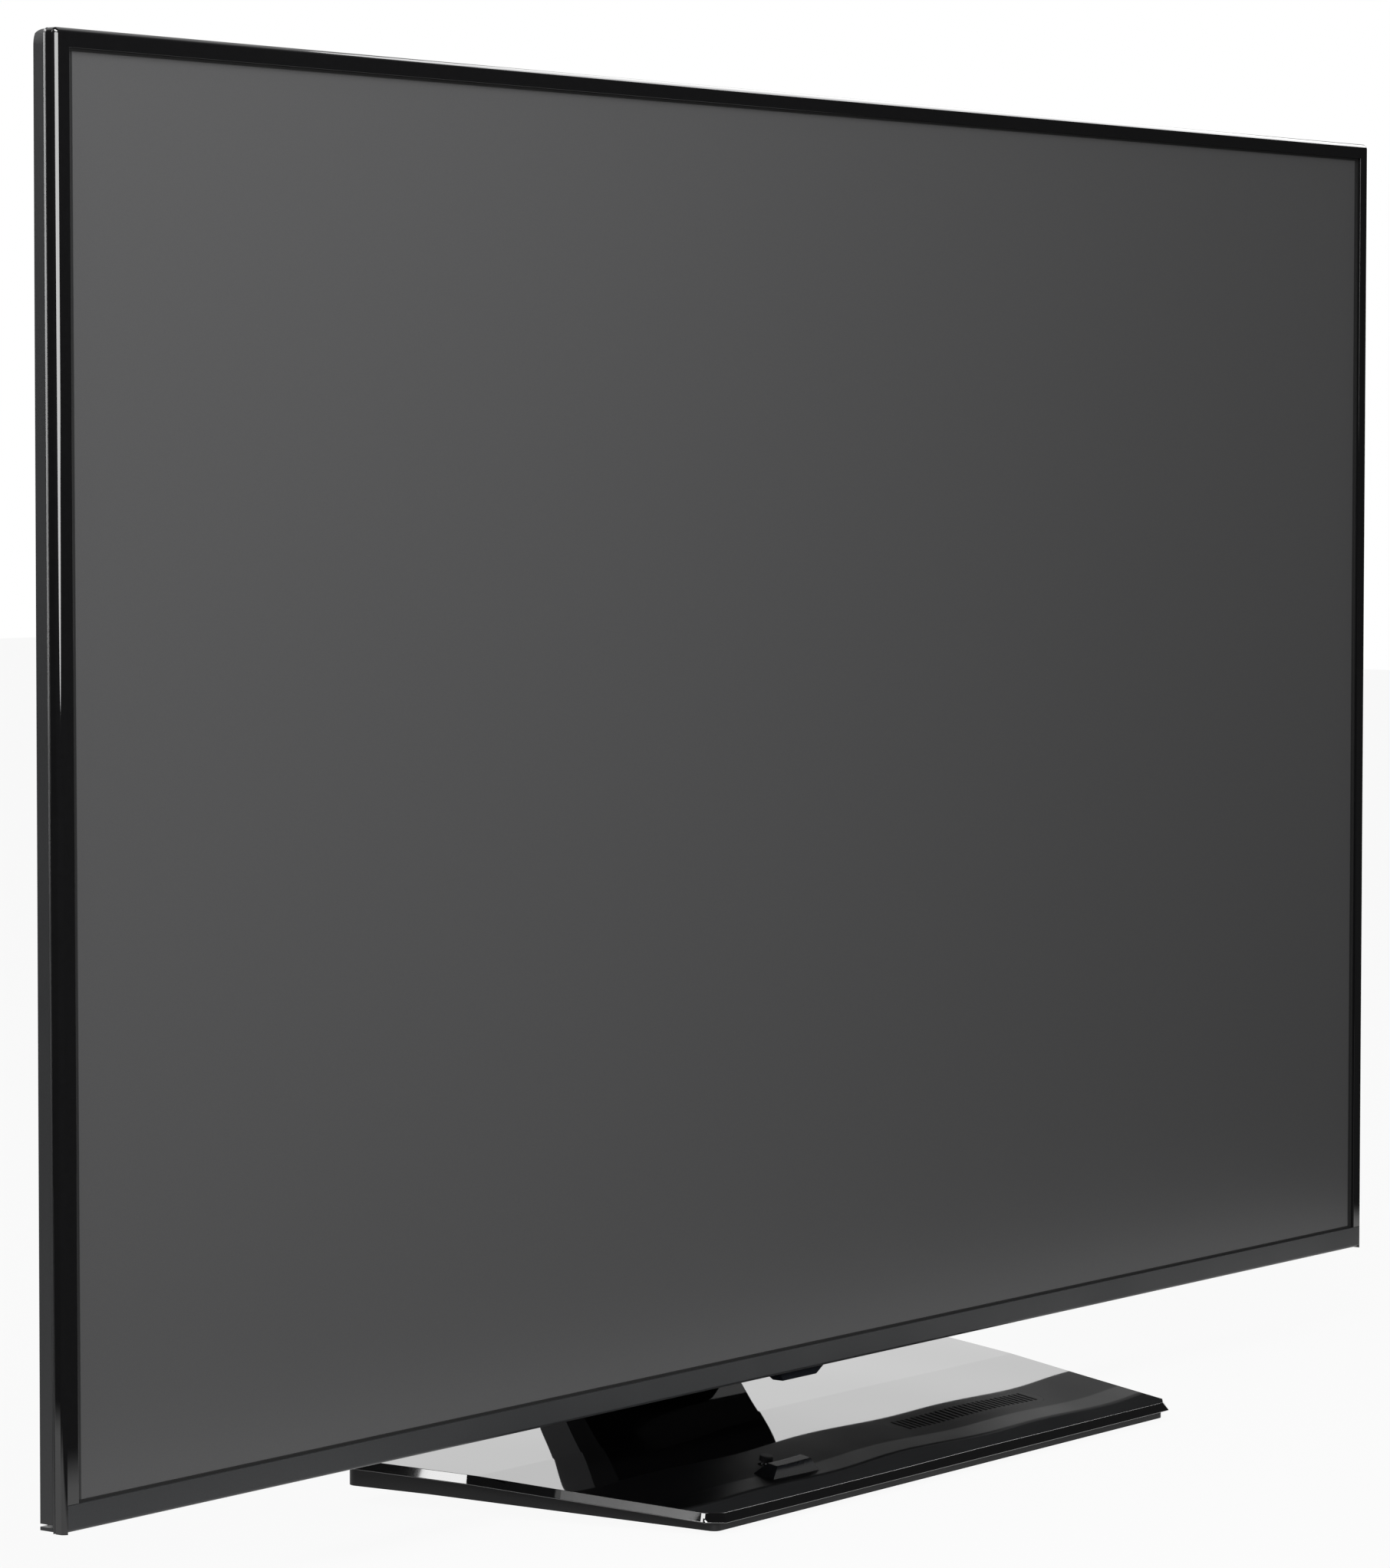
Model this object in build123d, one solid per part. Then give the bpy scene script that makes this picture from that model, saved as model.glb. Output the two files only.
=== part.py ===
from build123d import *
import os
from math import cos, hypot, radians, tan

# A large flat-panel display on a table stand. Millimetres.
# X is the viewer's right, Y runs from the viewer into the display, Z is up.
# The sizes below are taken from the display's front face (Y = 0) and from the table top (Z = 0).
# At export every piece moves by stand_shift along Y, so that the origin is under the middle.

# The display as a whole
display_width = 1388.0
display_height = 813.0
display_lift = 57.0        # underside of the display above the table
edge_depth = 18.2          # front face to the back of the rim, at the bottom
rim_top_depth = 15.8       # the same at the top
upper_depth = 31.0         # front face to the back of the thin upper part
full_depth = 58.0          # front face to the back of the housing bulge
rim_slope = 35.0           # width of the slope between the rim and the thin upper part

# Front frame and bottom strip
lip_side = 11.5
lip_top = 10.6
strip_height = 14.8
lip_thickness = 2.0
frame_wall = 2.2
frame_depth = 8.4
nose_radius = 2.0
frame_tip = 1.0            # how far the frame's side walls pass below the strip
seam = 0.3
strip_floor = 2.0
rim_slit = 1.6             # shadow gap between the strip's floor and the rear cover's rim

# Screen stack, front to back
gasket_thickness = 0.5
gasket_show = 1.6          # gasket seen inside the window
cell_thickness = 1.6
cell_play = 0.8
ledge_thickness = 1.2
ledge_width = 9.0
prism_thickness = 0.4
diffuser_thickness = 1.5
sheet_play = 1.0
middle_wall = 2.5
chassis_sheet = 1.0
chassis_flange = 16.0
chassis_slope = 26.0
chassis_back = 24.0        # front face to the chassis's rear surface
reflector_thickness = 0.5

# Backlight
led_rows = 7
led_columns = 9
led_row_pitch = 100.0
led_column_pitch = 140.0
led_strip_width = 14.0
led_strip_thickness = 1.2
led_lens_radius = 8.0
led_lens_height = 4.6
post_radius = 4.0
source_board_length = 520.0
source_board_height = 11.0
source_board_thickness = 1.5

# Rear cover
cover_wall = 2.5
rim_corner = 9.0
bulge_half_width = 470.0
bulge_height = 560.0
bulge_slope = 40.0
screw_radius = 1.9
screw_head_radius = 4.0
screw_head_height = 2.2
boss_radius = 5.0
vent_length = 46.0
vent_width = 4.0
vent_pitch = 12.0
vents_in_row = 30
vent_below_top = 70.0      # top of the bulge to the foot of the upper row of vents
vent_row_gap = 14.0
cover_screw_margin = 40.0  # inside the rim's slope
side_screw_heights = (230.0, 480.0)
cut_past = 9.0             # how deep the cuts from behind reach

# Wall-mount pattern
wall_pitch = 400.0
wall_height = 340.0        # centre of the pattern above the display's underside
insert_radius = 7.0
insert_bore = 2.5
insert_recess = 1.0
insert_thread = 26.0       # depth of the tapped bore

# Circuit boards
board_thickness = 1.6
standoff_height = 6.0
standoff_radius = 3.0
board_width = 240.0
board_height = 250.0
board_bottom = 90.0        # above the display's underside
power_board_x = -345.0
main_board_x = 330.0
tcon_width = 280.0
tcon_height = 70.0
tcon_bottom = 250.0
jack_depth = 12.0
bay_width = 130.0
bay_height = 170.0
bay_depth = 12.0
bay_corner = (60.0, 30.0)  # lower left corner of the socket recess on the main board
inlet_corner = (14.0, 30.0)
inlet_width = 30.0
inlet_height = 22.0
inlet_wall = 3.0
inlet_mouth = 14.0         # depth of the hollow that takes the plug
inlet_pin_pitch = 8.6
inlet_pin_radius = 1.2
hole_inset = 7.0           # board corner to the middle of its hole
hole_radius = 1.6
board_screw_radius = 1.5
board_screw_head = (2.8, 1.6)
capacitor_radius = 9.0
capacitor_height = 20.0
capacitor_pitch = 22.0
capacitor_row = (120.0, 50.0)
sink_span = (175.0, 235.0)  # lower and upper end of the power board's heat sinks
sink_height = 20.0
fin_length = 10.0
fin_pitch = 4.0
fin_thickness = 1.4
processor_place = (32.0, 200.0)
processor_sink = 22.0      # half the width of the processor's heat sink
processor_fin_pitch = 6.0
socket_wall = 1.2
antenna_reach = 8.0        # how far the antenna connector stands out of the panel
shield_height = 6.0
shield_wall = 0.8
shield_side = 26.0
flat_cable_thickness = 0.4
flat_cable_width = 28.0
harness_radius = 2.2

# Speakers
speaker_inner = 140.0      # nearest end of each speaker to the middle
speaker_length = 200.0
speaker_front = 27.0
speaker_depth = 27.0
speaker_height = 34.0
speaker_wall = 1.8
grille_length = 176.0
grille_width = 24.0
grille_slots = 28
grille_gasket = 1.0
slat_reach = 3.5           # grille's edge to the end of its slits
driver_length = 104.0
cone_length = 90.0
cone_margin = 7.0          # driver's width less the cone's

# Control unit below the bottom edge
lens_width = 50.0
lens_drop = 7.5
lens_front = 8.0
lens_depth = 16.0
lens_wall = 1.3
lens_taper = (7.0, 4.0)    # how much narrower the window's foot is on each side, and front and back
stick_y = 33.0
stick_pivot = 8.0          # pivot above the display's underside
housing_height = 8.0       # stick's pivot to the top of its housing
ring_radius = 8.0
ring_bore = 5.6
hub_radius = 4.2
hub_half = 3.0
collar_height = 4.2        # pivot to the top of the stem's collar
spring_wire = 0.35
spring_radius = 2.5
spring_turns = 4
knob_radius = 4.5
knob_height = 3.2
knob_gap = 2.8
stem_radius = 1.6
pin_radius = 1.0
pin_clearance = 0.08

# Stand
base_front = -114.0
base_depth = 248.0
base_front_width = 510.0
base_lean = 14.0           # how far the sides lean outwards, degrees
base_chamfer = 8.4         # flat across each front corner
chamfer_shrink = 0.55      # how fast that flat shrinks as its line moves inwards
base_tilt = 4.5            # rise of the glossy top in front of the fold, degrees
base_back_tilt = 3.0       # the same behind the fold
base_fold = 156.0          # front edge to the fold across the top
tray_tilt = 2.7            # rise of the tray's underside in front of its fold
tray_back_tilt = 1.8
tray_fold = 190.0
tray_lift = 1.4
tray_front_height = 5.7
tray_side_inset = 7.5
tray_front_inset = 6.0
tray_back_inset = 2.0
tray_corner = 6.0
tray_wall = 2.5
bevel_height = 5.2
bevel_inset = 3.4
rear_bevel = 25.0
base_skin = 2.6
steel_thickness = 3.0
steel_inset = 24.0
steel_back_inset = 12.0
foot_radius = 9.0
foot_margin = 92.0         # side of the base to the middle of a foot
foot_front = 28.0
foot_back = 40.0
heel_foot_height = 3.0
heel_foot_inset = 14.0
neck_width = 169.0
neck_overlap = 6.0         # the neck's front meets the base this far before its back edge
neck_heel = 33.0           # how far the neck passes behind the base
neck_heel_height = 20.0
neck_rise = 42.0           # neck meets the display this far above its underside
neck_top = 122.0           # top of the neck above the display's underside
neck_cap = 24.0            # depth of the neck's upper end
neck_spread = 3.0          # the neck's upper end is deeper by this at its shoulder
neck_shoulder = 30.0       # above neck_rise, where the neck's back starts to slant
neck_knees = [(-4.0, 29.0), (21.0, -9.0)]  # of its back: behind the base, above the display's underside
neck_skin = 2.5
neck_gap = 0.3
core_thickness = 4.0
core_width = 140.0
core_start = 96.0          # the core's tongue reaches this far in front of the base's back edge
core_heel = 16.0           # the core's bend in front of the neck's back
core_bend = 8.0            # above neck_rise, where the core's flange starts
neck_bolt_low = 22.0       # above neck_rise
neck_bolt_high = 16.0      # below neck_top
neck_bolt_side = 18.0      # inside the core's edge
screw_rows = (76.0, 30.0)  # base screws in front of the base's back edge
screw_side = 16.0          # base screws inside the core's edge
bracket_half_width = 85.0
bracket_wall = 2.5
bolt_radius = 2.4
bolt_head_radius = 4.4
bolt_head_height = 3.0
base_screw_head = 1.3
screw_play = 0.3           # round a screw in a clearance hole
thread_depth = 0.4         # a screw's thread isn't cut, so its core is thinner by this
tongue_play = 1.0          # round the core where it passes through the covers

# Sizes that follow from the ones above
floor_z = display_lift
top_z = display_lift + display_height
half_width = display_width / 2
window_x = half_width - lip_side
window_low = floor_z + strip_height
window_high = top_z - lip_top
cell_front = lip_thickness + gasket_thickness
cell_back = cell_front + cell_thickness
ledge_back = cell_back + ledge_thickness
prism_back = ledge_back + prism_thickness
diffuser_back = prism_back + diffuser_thickness
flange_back = diffuser_back + chassis_sheet
chassis_front = chassis_back - chassis_sheet
strip_front = chassis_front - led_strip_thickness
board_front = chassis_back + standoff_height
board_back = board_front + board_thickness
base_back = base_front + base_depth
neck_foot = base_back - neck_overlap
neck_back = base_back + neck_heel
stand_shift = -(base_front + neck_back) / 2


def block(x0, x1, y0, y1, z0, z1):
    """Box between two corners."""
    centre = Pos((x0 + x1) / 2, (y0 + y1) / 2, (z0 + z1) / 2)
    return centre * Box(abs(x1 - x0), abs(y1 - y0), abs(z1 - z0))


def rod_y(x, z, y0, y1, radius):
    """Round bar along Y."""
    bar = Rot(-90, 0, 0) * Cylinder(radius, abs(y1 - y0))
    return Pos(x, (y0 + y1) / 2, z) * bar


def rod_z(x, y, z0, z1, radius):
    """Round bar along Z."""
    return Pos(x, y, (z0 + z1) / 2) * Cylinder(radius, abs(z1 - z0))


def rod_x(y, z, x0, x1, radius):
    """Round bar along X."""
    return Pos((x0 + x1) / 2, y, z) * (Rot(0, 90, 0) * Cylinder(radius, abs(x1 - x0)))


def screen_rect(inset):
    """Inner faces of the middle frame's walls, moved inwards by inset: x, lowest z, highest z."""
    play = frame_wall + seam + middle_wall + inset
    return half_width - play, floor_z + strip_floor + seam + middle_wall + inset, top_z - play


def screen_plate(y0, y1, inset):
    """Flat plate that follows the screen's outline."""
    x, low, high = screen_rect(inset)
    return block(-x, x, y0, y1, low, high)


def flat_sided(near, far):
    """Solid with flat sides between two outlines that have the same number of corners."""
    faces = [Face(Wire.make_polygon(near, close=True)), Face(Wire.make_polygon(far, close=True))]
    for i in range(len(near)):
        j = (i + 1) % len(near)
        faces.append(Face(Wire.make_polygon([near[i], near[j], far[j], far[i]], close=True)))
    return Solid(Shell(faces))


def frustum_y(x0, low0, high0, y0, x1, low1, high1, y1):
    """Four-sided form between a rectangle at y0 and another at y1."""
    near = [(-x0, y0, low0), (x0, y0, low0), (x0, y0, high0), (-x0, y0, high0)]
    far = [(-x1, y1, low1), (x1, y1, low1), (x1, y1, high1), (-x1, y1, high1)]
    return flat_sided(near, far)


def ribbon(points, thickness):
    """Outline of a bent strip: the centre line offset to both sides, with mitred corners."""
    left, right = [], []
    for i, (y, z) in enumerate(points):
        normals = []
        for a, b in ((i - 1, i), (i, i + 1)):
            if a >= 0 and b < len(points):
                dy, dz = points[b][0] - points[a][0], points[b][1] - points[a][1]
                length = hypot(dy, dz)
                normals.append((-dz / length, dy / length))
        ny = sum(n[0] for n in normals) / len(normals)
        nz = sum(n[1] for n in normals) / len(normals)
        reach = thickness / 2 / (ny * ny + nz * nz)
        left.append((y + ny * reach, z + nz * reach))
        right.append((y - ny * reach, z - nz * reach))
    return left + right[::-1]


def plate_outline(points, thickness):
    """Outline of a bent plate: one face is the given line, the other lies to its left; corners are mitred."""
    middle = ribbon(points, 2 * thickness)
    return points + middle[:len(points)][::-1]


def side_profile(points, half):
    """Prism with a (Y, Z) outline, as wide as 2 * half along X."""
    return extrude(Plane.YZ * Polygon(*points, align=None), half, both=True)


def bolt_y(x, z, head_y, tip_y, radius, head_radius, head_height):
    """Screw along Y with its head behind head_y."""
    return rod_y(x, z, tip_y, head_y, radius) + rod_y(x, z, head_y, head_y + head_height, head_radius)


# Front of the display


def front_frame():
    """Glossy U: one lip and side wall round the left, top and right."""
    wall_x = half_width - frame_wall
    outer = block(-half_width, half_width, 0, frame_depth, floor_z - frame_tip, top_z)
    hollow = block(-wall_x, wall_x, lip_thickness, frame_depth + 1, floor_z - cut_past, top_z - frame_wall)
    window = block(-window_x, window_x, -1, lip_thickness + 1, window_low, window_high)
    strip_room = block(-wall_x, wall_x, -1, lip_thickness + 1, floor_z - cut_past, window_low + seam)
    frame = outer - hollow - window - strip_room
    outside = [e for e in frame.edges() if abs(e.center().Y) < 0.01
               and (abs(abs(e.center().X) - half_width) < 0.01 or abs(e.center().Z - top_z) < 0.01)]
    return fillet(outside, nose_radius)


def bottom_bezel_strip():
    """Satin strip below the screen, with a floor that closes the underside."""
    inner_x = half_width - frame_wall - seam
    face = block(-inner_x, inner_x, 0, lip_thickness, floor_z, window_low)
    floor = block(-inner_x, inner_x, 0, frame_depth + seam, floor_z, floor_z + strip_floor)
    ledge = block(-half_width, half_width, frame_depth + seam, edge_depth, floor_z, floor_z + strip_floor)
    strip = face + floor + ledge
    nose = [e for e in strip.edges() if abs(e.center().Y) < 0.01 and abs(e.center().Z - floor_z) < 0.01]
    strip = fillet(nose, nose_radius * 0.9)
    slot_y = lens_front + lens_depth / 2
    return strip - block(-8, 8, slot_y - 4, slot_y + 2, floor_z - 1, floor_z + strip_floor + 1)


def screen_gasket():
    """Thin black foam ring between the frame and the screen."""
    outer = screen_plate(lip_thickness, cell_front, cell_play + 0.4)
    hole = block(-window_x + gasket_show, window_x - gasket_show, 0, cell_back,
                 window_low + gasket_show, window_high - gasket_show)
    return outer - hole


def lcd_cell():
    """Liquid-crystal cell, with its two polarisers, as one plate."""
    return screen_plate(cell_front, cell_back, cell_play)


def middle_frame():
    """Moulded ring that carries the cell in front and traps the light sheets behind."""
    outer = screen_plate(lip_thickness, flange_back, -middle_wall)
    front_room = screen_plate(lip_thickness - 1, cell_back, 0)
    opening = screen_plate(cell_back - 1, ledge_back + 1, ledge_width)
    rear_room = screen_plate(ledge_back, flange_back + 1, 0)
    return outer - front_room - opening - rear_room


def source_boards():
    """Two driver boards behind the screen's lower edge."""
    low = screen_rect(0)[1]
    boards = []
    for side in (-1, 1):
        inner = 50 * side
        outer = (50 + source_board_length) * side
        boards.append(block(min(inner, outer), max(inner, outer), flange_back,
                            flange_back + source_board_thickness, low + 1, low + 1 + source_board_height))
    return boards


# Backlight


def flange_rect():
    """Inner edge of the chassis flange."""
    return screen_rect(seam + chassis_flange)


def back_chassis():
    """Pressed steel tray: flange, sloped sides and a flat floor that carries everything behind."""
    flange = screen_plate(diffuser_back, flange_back, seam)
    x, low, high = flange_rect()
    s, t = chassis_slope, chassis_sheet
    outer = frustum_y(x, low, high, diffuser_back, x - s, low + s, high - s, chassis_back)
    inner = frustum_y(x - t, low + t, high - t, diffuser_back,
                      x - s - t, low + s + t, high - s - t, chassis_front)
    tray = flange + outer - inner
    holes = [rod_y(px, pz, chassis_front - 1, chassis_back + 1, screw_radius + 0.2)
             for px, pz in cover_screw_places()]
    return tray - holes


def reflector_sheet():
    """White sheet lining the chassis, cut out round the light strips and posts."""
    x, low, high = flange_rect()
    s, t = chassis_slope, chassis_sheet
    r = reflector_thickness
    outer = frustum_y(x - t, low + t, high - t, diffuser_back,
                      x - s - t, low + s + t, high - s - t, chassis_front)
    inner = frustum_y(x - t - 2 * r, low + t + 2 * r, high - t - 2 * r, diffuser_back,
                      x - s - t - 2 * r, low + s + t + 2 * r, high - s - t - 2 * r, chassis_front - r)
    sheet = outer - inner
    half = led_strip_length() / 2 + 0.5
    slots = [block(-half, half, chassis_front - 2, chassis_front + 1,
                   z - led_strip_width / 2 - 0.5, z + led_strip_width / 2 + 0.5) for z in led_row_heights()]
    holes = [rod_y(x, z, chassis_front - 2, chassis_front + 1, post_radius + 0.3) for x, z in post_places()]
    return sheet - slots - holes


def led_row_heights():
    """Heights of the light strips, spread about the screen's middle."""
    middle = (window_low + window_high) / 2
    return [middle + (i - (led_rows - 1) / 2) * led_row_pitch for i in range(led_rows)]


def led_column_places():
    """Places of the lenses along a strip."""
    return [(i - (led_columns - 1) / 2) * led_column_pitch for i in range(led_columns)]


def led_strip_length():
    """A strip runs a little past its last lenses."""
    return (led_columns - 1) * led_column_pitch + 2 * led_lens_radius + 20


def post_places():
    """Support posts stand between the strips, halfway between lenses."""
    rows = led_row_heights()
    heights = ((rows[1] + rows[2]) / 2, (rows[-3] + rows[-2]) / 2)
    return [(x * led_column_pitch, z) for x in (-2.5, -0.5, 0.5, 2.5) for z in heights]


def led_strips():
    """Aluminium-core boards that carry the light-emitting diodes."""
    half = led_strip_length() / 2
    return [block(-half, half, strip_front, chassis_front, z - led_strip_width / 2, z + led_strip_width / 2)
            for z in led_row_heights()]


def led_lenses():
    """Domed lens over each diode."""
    dome = Cylinder(led_lens_radius, led_lens_height)
    dome = fillet(dome.edges().group_by(Axis.Z)[-1], led_lens_height * 0.6)
    dome = Rot(90, 0, 0) * dome
    middle = strip_front - led_lens_height / 2
    return [Pos(x, middle, z) * dome for z in led_row_heights() for x in led_column_places()]


def diffuser_posts():
    """Tapered pins that keep the diffuser from sagging against the lenses."""
    length = chassis_front - diffuser_back - 0.2
    cone = Rot(90, 0, 0) * Cone(post_radius, 1.2, length)
    return [Pos(x, chassis_front - length / 2, z) * cone for x, z in post_places()]


# Rear cover


def cover_form(inset):
    """Outer form of the rear cover with every face moved inwards by inset."""
    front = frame_depth + seam
    x, low, high = half_width - inset, floor_z + inset, top_z - inset
    outline = block(-x, x, front, full_depth, low, high)
    corners = [e for e in outline.edges().filter_by(Axis.Y) if e.center().Z > top_z / 2]
    outline = fillet(corners, rim_corner - inset)
    slope = [(front, low), (edge_depth - inset, low), (rim_top_depth - inset, high), (front, high)]
    rim = side_profile(slope, x)
    form = rim
    for near_x, near_high, run, back in ((x, high, rim_slope, upper_depth - inset),
                                         (bulge_half_width + bulge_slope - inset,
                                          floor_z + bulge_height + bulge_slope - inset, bulge_slope,
                                          full_depth - inset)):
        flare = run * (rim_top_depth - front) / (back - rim_top_depth)
        below = low - run - flare
        form += frustum_y(near_x + flare, below, near_high + flare, front,
                          near_x - run, below, near_high - run, back)
    return outline & form


def cover_screw_places():
    """Screws along the top and the two sides of the thin upper part."""
    reach = half_width - rim_slope - cover_screw_margin
    row = top_z - rim_slope - cover_screw_margin
    places = [(x * reach / 2, row) for x in (-2, -1, 0, 1, 2)]
    for side in (-1, 1):
        places += [(side * reach, floor_z + height) for height in side_screw_heights]
    return places


def wall_places():
    """The four wall-mount inserts."""
    half = wall_pitch / 2
    middle = floor_z + wall_height
    return [(sx * half, middle + sz * half) for sx in (-1, 1) for sz in (-1, 1)]


def neck_bolt_places():
    """Four bolts join the neck to the bracket inside the display."""
    low, high = floor_z + neck_rise + neck_bolt_low, floor_z + neck_top - neck_bolt_high
    return [(sx * (core_width / 2 - neck_bolt_side), z) for sx in (-1, 1) for z in (low, high)]


def bay_box():
    """Recess in the back that holds the sockets."""
    x0 = main_board_x - board_width / 2 + bay_corner[0]
    z0 = floor_z + board_bottom + bay_corner[1]
    return x0, x0 + bay_width, z0, z0 + bay_height


def inlet_box():
    """Mains inlet opening in the back."""
    x0 = power_board_x - board_width / 2 + inlet_corner[0]
    z0 = floor_z + board_bottom + inlet_corner[1]
    return x0, x0 + inlet_width, z0, z0 + inlet_height


def grille_outline(grow):
    """Stadium of one speaker grille, in plan, grown by grow all round."""
    return SlotOverall(grille_length + 2 * grow, grille_width + 2 * grow)


def grille_centre(side):
    """Middle of a speaker grille in plan."""
    return side * (speaker_inner + speaker_length / 2), speaker_front + speaker_depth / 2


def rear_cover():
    """One-piece moulded back with vents, a socket recess and speaker openings."""
    front = frame_depth + seam
    shell = cover_form(0) - cover_form(cover_wall)
    shell -= block(-half_width - 1, half_width + 1, front - 1, edge_depth,
                   floor_z - 1, floor_z + strip_floor + rim_slit)
    inner_x = half_width - cover_wall
    shell -= block(-inner_x, inner_x, front - 1, edge_depth + cover_wall + 1,
                   floor_z + cover_wall, floor_z + 2 * cover_wall)
    bosses = [rod_y(x, z, chassis_back, upper_depth - cover_wall, boss_radius)
              for x, z in cover_screw_places()]
    shell += bosses
    holes = [rod_y(x, z, chassis_back - 1, upper_depth + 1, screw_radius + 0.3)
             for x, z in cover_screw_places()]
    behind = (full_depth - cut_past, full_depth + 1)
    holes += [rod_y(x, z, *behind, insert_radius + seam) for x, z in wall_places()]
    holes += [rod_y(x, z, *behind, bolt_radius + 0.4) for x, z in neck_bolt_places()]
    x0, x1, z0, z1 = inlet_box()
    holes.append(block(x0, x1, full_depth - cut_past, full_depth + 1, z0, z1))
    holes.append(rod_z(0, stick_y, floor_z - 1, floor_z + cover_wall + 1, knob_radius + 0.8))
    for side in (-1, 1):
        x, y = grille_centre(side)
        plug = extrude(Pos(x, y, floor_z - 1) * grille_outline(0), cover_wall + 2)
        holes.append(plug)
    first = -(vents_in_row - 1) / 2 * vent_pitch
    upper_row = bulge_height - vent_below_top
    for row in (upper_row, upper_row - vent_length - vent_row_gap):
        for i in range(vents_in_row):
            x = first + i * vent_pitch
            z = floor_z + row
            holes.append(block(x - vent_width / 2, x + vent_width / 2, full_depth - cut_past, full_depth + 1,
                               z, z + vent_length))
    shell -= holes
    x0, x1, z0, z1 = bay_box()
    pocket = block(x0, x1, full_depth - bay_depth, full_depth + 1, z0, z1)
    walls = block(x0 - cover_wall, x1 + cover_wall, full_depth - bay_depth, full_depth - cover_wall,
                  z0 - cover_wall, z1 + cover_wall)
    return shell + walls - pocket


def terminal_panel():
    """Plate at the bottom of the socket recess, pierced for the sockets."""
    x0, x1, z0, z1 = bay_box()
    y1 = full_depth - bay_depth
    plate = block(x0 - cover_wall, x1 + cover_wall, y1 - cover_wall, y1, z0 - cover_wall, z1 + cover_wall)
    cuts = [block(x - w / 2 - 0.3, x + w / 2 + 0.3, y1 - cut_past, y1 + 1, z - h / 2 - 0.3, z + h / 2 + 0.3)
            for x, z, w, h in socket_places()]
    x, z, radius = antenna_place()
    cuts.append(rod_y(x, z, y1 - cut_past, y1 + 1, radius + 0.3))
    return plate - cuts


def rear_cover_screws():
    """Pan-head screws that hold the rear cover to the chassis."""
    return [bolt_y(x, z, upper_depth, chassis_front + 0.2, screw_radius, screw_head_radius, screw_head_height)
            for x, z in cover_screw_places()]


def wall_mount_inserts():
    """Steel posts with tapped bores, from the chassis to the back of the cover."""
    end = full_depth - insert_recess
    return [rod_y(x, z, chassis_back, end, insert_radius)
            - rod_y(x, z, end - insert_thread, end + 1, insert_bore) for x, z in wall_places()]


# Electronics


def board_box(centre_x):
    """Outline of the power or main board: x0, x1, z0, z1."""
    low = floor_z + board_bottom
    return centre_x - board_width / 2, centre_x + board_width / 2, low, low + board_height


def tcon_box():
    """Outline of the timing board, at the middle."""
    low = floor_z + tcon_bottom
    return -tcon_width / 2, tcon_width / 2, low, low + tcon_height


def board(box):
    """Flat board at the standoffs' height, with its four holes."""
    x0, x1, z0, z1 = box
    plate = block(x0, x1, board_front, board_back, z0, z1)
    holes = [rod_y(x, z, board_front - 1, board_back + 1, hole_radius) for x, z in corner_places(box)]
    return plate - holes


def corner_places(box):
    """Standoff places near a board's corners."""
    x0, x1, z0, z1 = box
    return [(x, z) for x in (x0 + hole_inset, x1 - hole_inset) for z in (z0 + hole_inset, z1 - hole_inset)]


def board_standoffs():
    """Pressed pillars between the chassis and the boards."""
    places = corner_places(board_box(power_board_x)) + corner_places(board_box(main_board_x))
    places += corner_places(tcon_box())
    return [rod_y(x, z, chassis_back, board_front, standoff_radius) for x, z in places]


def board_screws():
    """Screws that hold the boards to their standoffs."""
    places = corner_places(board_box(power_board_x)) + corner_places(board_box(main_board_x))
    places += corner_places(tcon_box())
    head_radius, head_height = board_screw_head
    return [rod_y(x, z, board_back, board_back + head_height, head_radius)
            + rod_y(x, z, board_front, board_back, board_screw_radius) for x, z in places]


def power_transformers():
    """Two wound transformers and a choke on the power board."""
    x0, x1, z0, z1 = board_box(power_board_x)
    made = []
    wound = ((x0 + 90, z0 + 140, 44, 40), (x0 + 160, z0 + 130, 38, 46), (x0 + 80, z0 + 210, 26, 30))
    for x, z, w, h in wound:
        core = block(x - w / 2, x + w / 2, board_back, board_back + 17, z - h / 2, z + h / 2)
        coil = block(x - w / 2 + 5, x + w / 2 - 5, board_back, board_back + 19, z - h / 2 - 5, z + h / 2 + 5)
        made.append(core + coil)
    return made


def power_capacitors():
    """Round smoothing capacitors standing on the power board."""
    x0, x1, z0, z1 = board_box(power_board_x)
    made = []
    for i in range(5):
        can = rod_y(x0 + capacitor_row[0] + i * capacitor_pitch, z0 + capacitor_row[1], board_back,
                    board_back + capacitor_height, capacitor_radius)
        made.append(fillet(can.edges().sort_by(Axis.Y)[-1], 1.2))
    return made


def heat_sinks():
    """Finned aluminium heat sinks: two on the power board and one on the main processor."""
    x0, x1, z0, z1 = board_box(power_board_x)
    low, high = z0 + sink_span[0], z0 + sink_span[1]
    made = []
    for x in (x0 + 125, x0 + 200):
        foot = block(x, x + 2, board_back, board_back + sink_height, low, high)
        fins = [block(x + 2, x + 2 + fin_length, y, y + fin_thickness, low, high)
                for y in (board_back + 2 + fin_pitch * i for i in range(5))]
        made.append(foot + fins)
    x0, x1, z0, z1 = board_box(main_board_x)
    x, z, w = x0 + processor_place[0], z0 + processor_place[1], processor_sink
    plate = block(x - w, x + w, board_back, board_back + 3, z - w, z + w)
    fins = [block(fin, fin + fin_thickness, board_back + 3, board_back + 12, z - w, z + w)
            for fin in (x - w + processor_fin_pitch * i for i in range(8))]
    return made + [plate + fins]


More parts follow.
